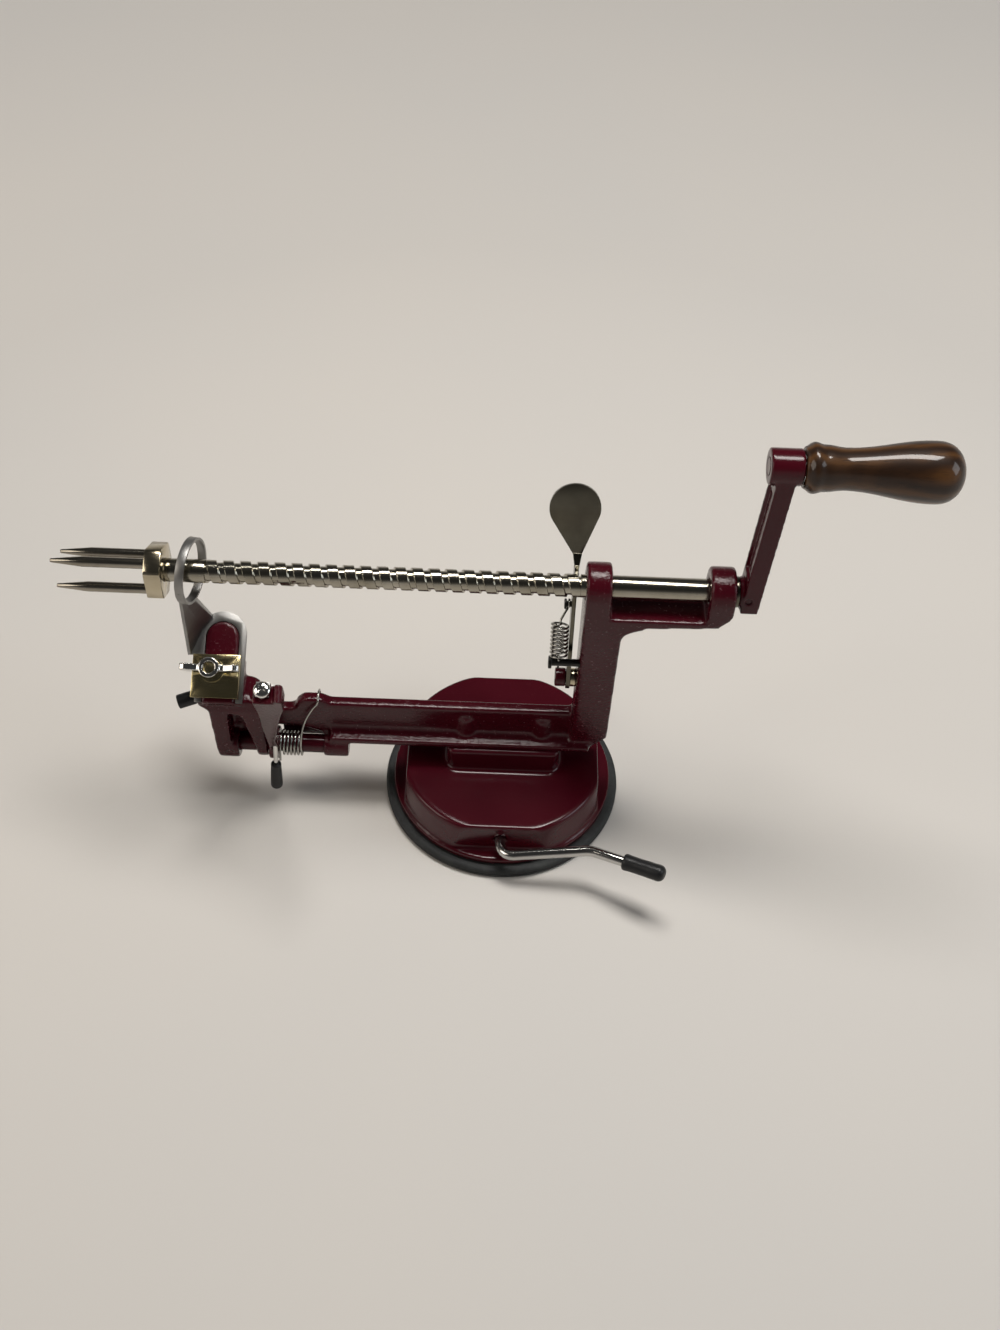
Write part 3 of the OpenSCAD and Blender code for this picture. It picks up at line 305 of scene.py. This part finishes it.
# %% Make the wood
def dark_wood(axis_y, axis_z):
    wood = Recipe("walnut_stained")
    shift = (0, -axis_y, -axis_z)
    along = wood.place((3, 26, 26), (0, -26 * axis_y, -26 * axis_z))
    warp = wood.noise(along, 6.0, 3.0, 0.6)
    rings = wood.node(
        "ShaderNodeTexWave",
        {"wave_type": "RINGS", "rings_direction": "X"},
        {"Vector": wood.place((1, 1, 1), (0, shift[1] + 0.020, shift[2] - 0.012)), "Scale": 62.0,
         "Distortion": 5.0, "Detail": 2.5, "Detail Scale": 0.6},
        "Fac",
    )
    pores = wood.between(wood.noise(wood.place((90, 1500, 1500)), 1.0, 2.0, 0.6), 0.56, 0.72)
    band = rings * 0.55 + warp * 0.45
    colour = wood.node(
        "ShaderNodeValToRGB",
        {"stops": [(0.22, (0.018, 0.0070, 0.0024, 1)), (0.50, (0.036, 0.0145, 0.0042, 1)),
                   (0.78, (0.074, 0.0310, 0.0082, 1))]},
        {"Fac": band},
    )
    stained = wood.mix(pores * 0.55, colour, (0.010, 0.0045, 0.0022, 1))
    skin = wood.bump(pores * -0.6 + warp * 0.5, 0.22, 0.00012)
    rough = 0.42 + warp * 0.12
    return wood.finish({
        "Base Color": stained, "Roughness": rough, "Normal": skin,
        "Coat Weight": 0.60, "Coat Roughness": 0.08, "Specular IOR Level": 0.15,
    })


crank_radius = 58.3 * MM
crank_lean = math.radians(5.8)
shaft_z = 126.4 * MM
handle_y = crank_radius * math.sin(crank_lean)
handle_z = shaft_z + crank_radius * math.cos(crank_lean)
walnut_stained = dark_wood(handle_y, handle_z)
print("wood: axis at", round(handle_y * 1000, 2), round(handle_z * 1000, 2), "mm")

# %% [markdown]
# ## From a frame node to a finished piece
# A frame node's mesh is loose triangles, fine for its own place but with no shared edges to round. A copy
# is merged first, and then it is an ordinary mesh. Every finished piece ends the same way: normals out,
# smooth shading with sharp edges kept, a finish, the body it rides on, and the node that it stands for.

# %% Helpers for merging and finishing
def merged(node):
    work = bmesh.new()
    work.from_mesh(frame["nodes"][node].data)
    bmesh.ops.remove_doubles(work, verts=work.verts, dist=0.002 * MM)
    return work


def as_mesh(name, work):
    bmesh.ops.recalc_face_normals(work, faces=work.faces)
    mesh = bpy.data.meshes.new(name)
    work.to_mesh(mesh)
    work.free()
    if "custom_normal" in mesh.attributes:
        mesh.attributes.remove(mesh.attributes["custom_normal"])
    mesh.materials.clear()
    return mesh


def shown(name, mesh, finish, crease=32):
    mesh.shade_smooth()
    mesh.set_sharp_from_angle(angle=math.radians(crease))
    mesh.materials.clear()
    mesh.materials.append(finish)
    piece = bpy.data.objects.new(name, mesh)
    bpy.context.scene.collection.objects.link(piece)
    return piece


def stands_for(piece, node):
    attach(piece, body_of_node[node])
    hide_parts(node)
    print(piece.name, "stands for", node, "with", len(piece.data.polygons), "faces")
    return piece


# %% [markdown]
# ## Castings with soft edges
# A sand or die casting has no sharp edge anywhere: every corner is rounded and every inside corner is
# filled by the metal and then by the paint. A bevel on each edge would have to cope with dozens of odd
# crossings, so the merged copy is cut into small even cells instead, and a few rounds of smoothing draw the
# corners in.

# %% Recast the enamelled pieces
def recast(node, name, cell, finish, rounds=5, crease=60):
    rough_mesh = as_mesh(name + "_rough", merged(node))
    holder = bpy.data.objects.new(name + "_rough", rough_mesh)
    bpy.context.scene.collection.objects.link(holder)
    grid = holder.modifiers.new("cells", "REMESH")
    grid.mode = "VOXEL"
    grid.voxel_size = cell
    settled = holder.evaluated_get(bpy.context.evaluated_depsgraph_get())
    even = bpy.data.meshes.new_from_object(settled)
    bpy.data.objects.remove(holder)
    work = bmesh.new()
    work.from_mesh(even)
    for _ in range(rounds):
        bmesh.ops.smooth_vert(
            work, verts=work.verts, factor=0.5, use_axis_x=True, use_axis_y=True, use_axis_z=True
        )
    piece = shown(name, as_mesh(name, work), finish, crease)
    return stands_for(piece, node)


recast("frame_casting", "cast_frame", 0.72 * MM, enamel_sand)
recast("base_dome", "cast_base", 0.72 * MM, enamel_smooth)
recast("crank_arm", "cast_crank", 0.42 * MM, enamel_smooth)
recast("peeler_arm", "cast_peeling_arm", 0.45 * MM, enamel_sand)
recast("wing_nut", "cast_wing_nut", 0.24 * MM, chrome_bright)

# %% [markdown]
# ## Cut and stamped metal
# Sheet and bar stock keeps its crisp shape, with only a hair's breadth taken off each edge. That hairline
# is what catches the light on real metal. Flat triangles are first dissolved into whole faces, then every
# edge sharper than a set angle gets a narrow bevel.

# %% Ease the edges of sheet and bar
def eased(node, name, edge, finish, sharp=40, steps=2):
    work = merged(node)
    bmesh.ops.dissolve_limit(
        work, angle_limit=math.radians(0.7), verts=work.verts, edges=work.edges, delimit=set()
    )
    rims = [rim for rim in work.edges if rim.is_manifold and rim.calc_face_angle(0) > math.radians(sharp)]
    bmesh.ops.bevel(
        work, geom=rims, offset=edge, offset_type="OFFSET", affect="EDGES", segments=steps, profile=0.5,
        clamp_overlap=True, material=-1,
    )
    return stands_for(shown(name, as_mesh(name, work), finish), node)


eased("fork_head", "fork_block", 0.45 * MM, nickel_flat)
eased("clamp_plate", "clamp_sheet", 0.22 * MM, nickel_gold)
eased("clamp_bolt", "clamp_stud", 0.35 * MM, nickel_gold)
eased("corer_blade", "coring_blade", 0.12 * MM, blade_brushed)
# The strip and the washer wear the painted dark reflection and shade.
eased("release_lever", "release_strip", 0.18 * MM, nickel_painted_shade)
eased("thrust_washer", "crank_washer", 0.15 * MM, nickel_painted_shade)
eased("release_bush", "strip_bush", 0.15 * MM, nickel_flat)
eased("release_pivot_screw", "strip_screw", 0.50 * MM, enamel_smooth, steps=3)
eased("pivot_bar", "arm_bar", 0.40 * MM, enamel_smooth)
eased("peel_blade", "peeling_blade", 0.10 * MM, blade_brushed)
eased("peel_blade_screw", "blade_screw", 0.10 * MM, chrome_bright)
eased("lever_rod", "base_lever_rod", 0.40 * MM, lever_plate)
eased("arm_rod", "arm_thin_rod", 0.15 * MM, chrome_bright)
eased("lever_stud", "spring_stud", 0.20 * MM, steel_black)
eased("anchor_pin", "spring_anchor", 0.30 * MM, steel_black)

# %% [markdown]
# ## Pieces that hardly show
# Screws, pins, cam, stud and spindle sit inside the base, the crank and the handle. Their frame nodes
# already have the right shape, so they stay and only take a finish. The two cross pins and the riveted end
# of the spindle are painted over with the castings.

# %% Finish the hidden hardware
inside = {
    "frame_screws": steel_plain, "pull_stud": steel_plain, "lever_cam": steel_plain,
    "handle_spindle": enamel_smooth, "bar_pin": enamel_sand, "crank_pin": enamel_smooth,
}
for node, finish in inside.items():
    hidden = frame["nodes"][node]
    hidden.data.materials.clear()
    hidden.data.materials.append(finish)
print("hidden hardware:", len(inside), "nodes")

# %% [markdown]
# ## Turned pieces
# Anything made on a lathe is an outline spun round an axis. A few points give the outline, a full spin with
# merged ends makes the skin, and one matrix carries it to its place. The points on the axis collapse into a
# pole, so doubles are merged before the normals are set.

# %% Helper for lathe work
def spun(outline, sides):
    work = bmesh.new()
    points = [work.verts.new((radius, 0, height)) for radius, height in outline]
    edges = [work.edges.new(pair) for pair in zip(points, points[1:])]
    bmesh.ops.spin(
        work, geom=points + edges, cent=(0, 0, 0), axis=(0, 0, 1), angle=2 * math.pi, steps=sides,
        use_merge=True, use_normal_flip=False, use_duplicate=False,
    )
    bmesh.ops.remove_doubles(work, verts=work.verts, dist=0.001 * MM)
    return work


def turned(name, outline, sides, matrix, finish, node, crease=32):
    work = spun([(radius * MM, height * MM) for radius, height in outline], sides)
    bmesh.ops.transform(work, matrix=matrix, verts=work.verts)
    return stands_for(shown(name, as_mesh(name, work), finish, crease), node)


def quarter(centre_r, centre_h, radius, start, end, steps):
    angles = [math.radians(start + (end - start) * i / steps) for i in range(steps + 1)]
    return [(centre_r + radius * math.cos(a), centre_h + radius * math.sin(a)) for a in angles]


# %% [markdown]
# ## The wooden handle
# The handle starts with a rounded bead against the crank, draws in to a waist and swells to a belly that
# ends in a blunt dome. Its outline is a chain of smooth half waves between those radii, so a denser list of
# points than the frame needs still follows the same curve.

# %% Turn the handle
handle_length = 56.8
belly = 11.2
spindle_hole = 3.05
hole_depth = 48.1


def half_wave(share, first, last):
    return first + (last - first) * (1 - math.cos(math.pi * share)) / 2


def handle_radius(along):
    if along < 3.5:
        return half_wave(along / 3.5, 7.6, 9.2)
    if along < 7:
        return half_wave((along - 3.5) / 3.5, 9.2, 8.4)
    if along < 15:
        return half_wave((along - 7) / 8, 8.4, 7.6)
    if along < handle_length - 11:
        return half_wave((along - 15) / (handle_length - 26), 7.6, belly)
    return belly * math.sqrt(max(0, 1 - ((along - handle_length + 11) / 11.02) ** 2.6))


handle_x = 101.0
count = 120
stations = [handle_length * math.sin(math.pi / 2 * i / count) for i in range(count)]
handle_outline = [(0, hole_depth), (spindle_hole, hole_depth), (spindle_hole, 0.4), (spindle_hole + 0.4, 0)]
handle_outline += quarter(6.9, 0.7, 0.7, -90, 0, 4)
handle_outline += [(handle_radius(along), along) for along in stations if along > 0.9]
handle_outline += [(0, handle_length - 0.02)]
to_handle = Matrix.Translation((handle_x * MM, handle_y, handle_z)) @ Matrix.Rotation(math.pi / 2, 4, "Y")
turned("turned_handle", handle_outline, 96, to_handle, walnut_stained, "wood_handle", 50)

# %% [markdown]
# ## The suction pad
# The pad is a moulded disc with a rolled lip and two fine steps on its side, where the halves of the mould
# met. A cube with its edges rounded would show facets, so it is spun like the handle, with its poles on the
# axis.

# %% Spin the pad
pad_radius = 51.0
pad_height = 4.5
pad_outline = [(0, 0), (34, 0), (pad_radius - 2.2, 0.0)]
pad_outline += quarter(pad_radius - 1.1, 1.1, 1.1, -90, 0, 5)
pad_outline += [(pad_radius, 1.9), (pad_radius - 0.25, 2.05), (pad_radius - 0.25, 2.35), (pad_radius, 2.5)]
pad_outline += quarter(pad_radius - 1.6, pad_height - 1.6, 1.6, 0, 90, 6)
pad_outline += [(pad_radius - 3.0, pad_height - 0.02), (20, pad_height - 0.02), (0, pad_height - 0.02)]
turned("rubber_pad", pad_outline, 160, Matrix.Identity(4), rubber_grey, "suction_pad")

# %% [markdown]
# ## Vinyl caps
# The lever's grip and the thin rod end in dipped caps: a soft sleeve, a little wider at its mouth, closed
# by a round end. Each is spun about the rod that it covers, so it needs the same turns as that rod: the
# lever's lift about Y, then the bend of its grip.

# %% Spin the lever's cap and the rod's tip
lever_radius = 2.25
cap_radius = 3.5
cap_length = 18.0
lever_lift = math.radians(10)
grip_bend = math.radians(25)
to_lever = Matrix.Translation((0, 0, 14.5 * MM)) @ Matrix.Rotation(-lever_lift, 4, "Y")
to_grip = to_lever @ Matrix.Translation((38 * MM, -49.5 * MM, 0)) @ Matrix.Rotation(-grip_bend, 4, "Z")
to_cap = to_grip @ Matrix.Rotation(math.pi / 2, 4, "Y") @ Matrix.Translation((0, 0, 15 * MM))
cap_outline = [(0, cap_length - 1.1), (lever_radius + 0.04, cap_length - 1.1), (lever_radius + 0.04, 0.5)]
cap_outline += [(lever_radius + 0.35, 0.0), (cap_radius - 0.45, 0.0)]
cap_outline += [(cap_radius - 0.06, 0.4), (cap_radius, 1.2)]
cap_outline += [(cap_radius - 0.12, 2.6), (cap_radius - 0.20, 6.0), (cap_radius - 0.12, 11.0)]
cap_outline += quarter(cap_radius - 2.55, cap_length - 2.55, 2.5, 0, 90, 8)
cap_outline += [(0, cap_length - 0.05)]
turned("lever_vinyl_cap", cap_outline, 48, to_cap, vinyl_black, "lever_cap", 45)

tip_radius = 2.6
tip_length = 16.0
rod_lean = math.radians(3.6)
to_rod = Matrix.Translation((-97.8 * MM, -13.0 * MM, 8.1 * MM)) @ Matrix.Rotation(rod_lean, 4, "Y")
tip_outline = [(0, 0.0)] + quarter(tip_radius - 1.3, 1.3, 1.3, -90, 0, 6)
tip_outline += [(tip_radius - 0.06, 5), (tip_radius - 0.28, 12), (tip_radius - 0.40, tip_length - 1.0)]
tip_outline += quarter(tip_radius - 0.9, tip_length - 0.5, 0.5, 0, 90, 4)
tip_outline += [(1.04, tip_length - 0.1), (1.04, 4.2), (0, 4.2)]
turned("rod_vinyl_tip", tip_outline, 40, to_rod, vinyl_black, "rod_tip", 45)

# %% [markdown]
# ## The threaded drive shaft
# One broad groove winds round the shaft, and a turn of the crank feeds the apple by its lead. The frame's
# solid has coarse facets, so the groove is cut afresh: the outline of one lead is spun round the shaft
# while each step moves it along by the same small distance, and planes trim the ends where plain shaft
# begins.

# %% Cut the thread
lead = 6.5
crest = 4.46
root = 3.60
nib_x = 24.8
thread_start = -116.0
thread_end = 26.2
steps_per_turn = 36
turns_before = 22
turns = 23
groove = [(-3.25, crest), (-1.40, crest), (-1.26, crest - 0.09), (-1.14, root + 0.10), (-1.00, root)]
groove += [(1.00, root), (1.14, root + 0.10), (1.26, crest - 0.09), (1.40, crest), (3.25, crest)]

work = bmesh.new()
first_x = nib_x - turns_before * lead
points = [work.verts.new(((first_x + x) * MM, r * MM, shaft_z)) for x, r in groove]
edges = [work.edges.new(pair) for pair in zip(points, points[1:])]
bmesh.ops.spin(
    work, geom=points + edges, cent=(0, 0, shaft_z), axis=(1, 0, 0), angle=2 * math.pi * turns,
    steps=steps_per_turn * turns, dvec=(lead * MM / steps_per_turn, 0, 0), use_merge=False,
    use_normal_flip=False, use_duplicate=False,
)
bmesh.ops.remove_doubles(work, verts=work.verts, dist=0.004 * MM)
for cut_x, side in ((thread_start, -1), (thread_end, 1)):
    everything = work.verts[:] + work.edges[:] + work.faces[:]
    bmesh.ops.bisect_plane(
        work, geom=everything, dist=0.001 * MM, plane_co=(cut_x * MM, 0, 0), plane_no=(side, 0, 0),
        clear_outer=True, clear_inner=False,
    )
    rim = [edge for edge in work.edges if edge.is_boundary
           and all(abs(corner.co.x - cut_x * MM) < 0.01 * MM for corner in edge.verts)]
    bmesh.ops.holes_fill(work, edges=rim, sides=0)
print("thread:", turns, "turns,", len(work.faces), "faces")

# %% [markdown]
# The plain ends are cones with equal radii, one under the fork and one through the bearings. Their rims are
# eased before they join the thread, so the step where the thread runs out reads as a turned shoulder.

# %% Add the plain ends of the shaft
shaft_radius = 4.5
for start_x, end_x in ((-135.6, thread_start), (thread_end, 92.5)):
    stub = bmesh.new()
    centre = Matrix.Translation(((start_x + end_x) / 2 * MM, 0, shaft_z))
    middle = centre @ Matrix.Rotation(math.pi / 2, 4, "Y")
    bmesh.ops.create_cone(
        stub, cap_ends=True, cap_tris=False, segments=64, radius1=shaft_radius * MM,
        radius2=shaft_radius * MM, depth=(end_x - start_x) * MM, matrix=middle,
    )
    rims = [rim for rim in stub.edges if rim.calc_face_angle(0) > math.radians(60)]
    bmesh.ops.bevel(
        stub, geom=rims, offset=0.3 * MM, offset_type="OFFSET", affect="EDGES", segments=2, profile=0.5,
        material=-1,
    )
    loose = bpy.data.meshes.new("shaft_stub")
    stub.to_mesh(loose)
    stub.free()
    work.from_mesh(loose)
    bpy.data.meshes.remove(loose)
stands_for(shown("threaded_shaft", as_mesh("threaded_shaft", work), nickel_turned), "drive_shaft")

# %% [markdown]
# ## Fork prongs
# Three steel needles stand on a circle in the fork's face. Each is spun with a straight taper that ends in
# a blunt point, and is copied twice by a third of a turn round the shaft.

# %% Spin the prongs
prong_radius = 2.0
prong_circle = 7.75
fork_face = -137.6
prong_reach = 35.4
prong_seat = 4.8
taper = 12.0
needle = [(0, -prong_seat), (prong_radius, -prong_seat)]
needle += [(prong_radius, 0), (prong_radius, prong_reach - taper)]
needle += [(0.80, prong_reach - 0.4), (0.62, prong_reach - 0.1), (0, prong_reach)]
work = bmesh.new()
for third in range(3):
    one = spun([(radius * MM, height * MM) for radius, height in needle], 40)
    on_circle = Matrix.Translation((fork_face * MM, prong_circle * MM, 0))
    home = on_circle @ Matrix.Rotation(-math.pi / 2, 4, "Y")
    round_shaft = Matrix.Rotation(2 * math.pi * third / 3, 4, "X")
    lifted = Matrix.Translation((0, 0, shaft_z)) @ round_shaft @ home
    bmesh.ops.transform(one, matrix=lifted, verts=one.verts)
    loose = bpy.data.meshes.new("needle")
    one.to_mesh(loose)
    one.free()
    work.from_mesh(loose)
    bpy.data.meshes.remove(loose)
stands_for(shown("fork_needles", as_mesh("fork_needles", work), prong_steel), "fork_prongs")

# %% [markdown]
# ## The stop pin
# A short black pin stands out of the bracket's left side. It is moulded, so its edges are well rounded, and
# a neck of smaller diameter sits in the casting. Its frame node gives the place; the copy is only rounded
# more.

# %% Round the stop pin
eased("stop_pin", "moulded_stop", 0.60 * MM, vinyl_black, steps=4)

# %% [markdown]
# ## Spring wire
# A spring is one length of round wire. A curve with a round bevel draws it from a list of places: the coil
# from a formula, the legs and hooks from a few points more. The curve then becomes a mesh, because a piece
# that bends between two bodies has to be one.

# %% Helper for bent wire
wire_radius = 0.475


def bent_wire(name, route, finish):
    line = bpy.data.curves.new(name + "_line", "CURVE")
    line.dimensions = "3D"
    line.resolution_u = 4
    line.bevel_depth = wire_radius * MM
    line.bevel_resolution = 4
    line.use_fill_caps = True
    spline = line.splines.new("BEZIER")
    spline.bezier_points.add(len(route) - 1)
    for knot, place in zip(spline.bezier_points, route):
        knot.co = Vector(place) * MM
        knot.handle_left_type = "AUTO"
        knot.handle_right_type = "AUTO"
    holder = bpy.data.objects.new(name + "_line", line)
    bpy.context.scene.collection.objects.link(holder)
    settled = holder.evaluated_get(bpy.context.evaluated_depsgraph_get())
    mesh = bpy.data.meshes.new_from_object(settled)
    bpy.data.objects.remove(holder)
    work = bmesh.new()
    work.from_mesh(mesh)
    bmesh.ops.remove_doubles(work, verts=work.verts, dist=0.001 * MM)
    return shown(name, as_mesh(name, work), finish, 60)


def stretches_for(piece, node, still, moving):
    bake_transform(piece)
    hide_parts(node)
    print(piece.name, "bends between", still, "and", moving, "with", len(piece.data.polygons), "faces")


# %% [markdown]
# ## The release spring
# This extension spring pulls the release strip's nib into the thread. Its upper end is a loop round a stud
# on the strip, its lower end a loop round a pin in the post, and nine close turns lie between. The loops
# are circles round those pins, a wire's half thickness out, so the spring stays hooked when the strip is
# pushed over.

# %% Wind the release spring
strip_lean = math.radians(10.3)
pivot_z = 72.8
stud_at = Vector((23.1, 37 * math.sin(strip_lean), pivot_z + 37 * math.cos(strip_lean)))
anchor_at = Vector((20.0, -6.0, pivot_z + 15.8))
pull = Vector((0, anchor_at.y - stud_at.y, anchor_at.z - stud_at.z)).normalized()
across = pull.cross(Vector((1, 0, 0)))
outward = Vector((1, 0, 0))
coil_turns = 9
coil_radius = 3.2
top_leg = 6.4
low_leg = 0.2
top_end = stud_at + pull * 1.23
low_end = anchor_at - pull * 1.53
coil_top = Vector((anchor_at.x, top_end.y, top_end.z))
coil_length = (low_end - coil_top).length - top_leg - low_leg


def release_place(share):
    swell = min(1, 2 * coil_turns * min(share, 1 - share))
    angle = 2 * math.pi * coil_turns * share
    return (coil_top + pull * (top_leg + coil_length * share)
            + coil_radius * swell * (outward * math.cos(angle) + across * math.sin(angle)))


def loop_round(pin, radius, start, sweep, count):
    angles = [math.radians(start + sweep * i / count) for i in range(count + 1)]
    return [pin + radius * (pull * math.cos(a) + across * math.sin(a)) for a in angles]


stud_loop = loop_round(stud_at, 1.72, -300, 250, 14)
anchor_loop = loop_round(anchor_at, 2.02, 130, 250, 14)
coil = [release_place(i / (16 * coil_turns)) for i in range(16 * coil_turns + 1)]
release_route = stud_loop + coil + anchor_loop
release_wire = bent_wire("release_wire", release_route, spring_bright)
stretches_for(
    release_wire, "release_spring", "frame", "release",
)

# %% [markdown]
# ## The arm's torsion spring
# Six turns sit loose round the bar. One leg runs down and pushes on the thin rod of the peeling arm, the
# other rises in front of the block on the beam and hooks over its top. When the arm swings, the coil winds
# up, so the turns share out the motion along the bar between the frame at one end and the arm at the other.

# %% Wind the torsion spring
bar_y = -5.0
bar_z = 28.8
ring_radius = 5.2
ring_x = -94.825
ring_pitch = 1.52
ring_turns = 6 - 30 / 360
web_half = 2.6
block_top = 54.5
hook_x = -78.0
hook_gap = 0.775


def torsion_place(share):
    angle = math.radians(30) + 2 * math.pi * ring_turns * share
    return Vector((ring_x + ring_pitch * ring_turns * share,
                   bar_y - ring_radius * math.cos(angle), bar_z + ring_radius * math.sin(angle)))


leg = Vector((0, -math.sin(math.radians(30)), -math.cos(math.radians(30))))
lower_leg = [torsion_place(0) + leg * reach for reach in (6.4, 5.0, 3.2, 1.5)]
rings = [torsion_place(i / 120) for i in range(121)]
upper_leg = [
    torsion_place(1) + Vector((0, 0, 4)),
    Vector((hook_x - 6.4, -web_half - 3.4, block_top - 12)),
    Vector((hook_x - 2.4, -web_half - 1.2, block_top - 4)),
    Vector((hook_x, -web_half - hook_gap, block_top)),
    Vector((hook_x, -web_half, block_top + hook_gap)),
    Vector((hook_x, 0, block_top + hook_gap + 0.9)),
    Vector((hook_x, web_half, block_top + hook_gap)),
    Vector((hook_x, web_half + hook_gap, block_top)),
    Vector((hook_x, web_half + hook_gap, block_top - 5)),
]
torsion_wire = bent_wire("torsion_wire", lower_leg + rings + upper_leg, spring_bright)
stretches_for(
    torsion_wire, "arm_spring", "frame", "peeler",
)

# %% [markdown]
# ## Floor
# The tool stands on a pale cloth, shown here as a plain pale floor. A very slow noise keeps it from looking
# like printed paper, and nothing more, so that the shadow under the tool stays the only thing on it. The
# lamps are small and near, so far from the tool the floor glows a little instead, and runs into the pale
# wall without an edge.

# %% Lay the floor
backdrop = (0.40, 0.38, 0.355, 1)


def pale_floor():
    ground = Recipe("pale_floor")
    place = ground.place()
    slow = ground.noise(place, 3.0, 2.0)
    fine = ground.noise(place, 700, 2.0)
    colour = ground.mix(slow, (0.66, 0.62, 0.57, 1), (0.60, 0.585, 0.565, 1))
    away = ground.node("ShaderNodeVectorMath", {"operation": "LENGTH"}, {0: place}, "Value")
    far_glow = {"stops": [(0.07, (0, 0, 0, 1)), (0.30, backdrop)]}
    glow = ground.node("ShaderNodeValToRGB", far_glow, {"Fac": away * (1 / 6)})
    return ground.finish({
        "Emission Color": glow, "Emission Strength": 1.0,
        "Base Color": colour, "Roughness": 0.85 + fine * 0.1, "Normal": ground.bump(fine, 0.10, 0.0002),
        "Specular IOR Level": 0.15,
    })


work = bmesh.new()
bmesh.ops.create_grid(work, x_segments=4, y_segments=4, size=12)
floor_mesh = as_mesh("floor", work)
floor = shown("floor", floor_mesh, pale_floor())
floor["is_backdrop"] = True
print("floor: 24 m across at the pad's underside")

# %% [markdown]
# ## Light
# A long soft lamp hangs over the tool, a little behind it, so the upper edges carry the long highlights and
# the faces towards the camera stay deep in colour. Two weaker lamps, warm from the left and cool from the
# right, open the shadows. The world is a room: its walls are as pale as the far floor, and its ceiling is
# dark.

# %% Hang the lamps and light the room
def soft_lamp(name, place, aim, size, watts, colour):
    light = bpy.data.lights.new(name, "AREA")
    light.shape = "RECTANGLE"
    light.size = size[0]
    light.size_y = size[1]
    light.energy = watts
    light.color = colour
    lamp = bpy.data.objects.new(name, light)
    lamp.location = place
    lamp.rotation_euler = (Vector(aim) - Vector(place)).to_track_quat("-Z", "Y").to_euler()
    bpy.context.scene.collection.objects.link(lamp)
    return lamp


soft_lamp("lamp_over", (0.10, 0.20, 1.15), (0, 0, 0.05), (0.7, 0.28), 11.5, (1.0, 0.97, 0.93))
soft_lamp("lamp_left", (-1.10, -0.35, 0.80), (0, 0, 0.08), (0.7, 0.7), 4.6, (1.0, 0.92, 0.82))
soft_lamp("lamp_right", (1.10, -0.25, 0.75), (0, 0, 0.08), (0.6, 0.6), 3.6, (0.88, 0.94, 1.0))

room = Recipe("room", bpy.data.worlds.new("room"))
outlook = room.node("ShaderNodeTexCoord", {}, {}, "Generated")
rise = room.node("ShaderNodeSeparateXYZ", {}, {"Vector": outlook}, "Z")
wall_top = (0.10, 0.095, 0.09, 1)
ceiling = (0.035, 0.035, 0.035, 1)
wall_and_ceiling = {"stops": [(0.10, backdrop), (0.32, wall_top), (0.60, ceiling)]}
shade = room.node("ShaderNodeValToRGB", wall_and_ceiling, {"Fac": rise})
bpy.context.scene.world = room.finish({"Color": shade, "Strength": 1.0})
print("light: three lamps and a room")

# %% [markdown]
# ## Check the size
# Rounding and winding must not make the tool any bigger than its frame.

# %% Compare the boxes and finish
new_box = [[float(value) for value in corner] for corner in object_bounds()]
lower = [cad_box[0][i] - new_box[0][i] for i in range(3)]
upper = [new_box[1][i] - cad_box[1][i] for i in range(3)]
growth = [round(max(pair) / MM, 3) for pair in zip(lower, upper)]
print("size: grown by", growth, "mm in X, Y, Z")
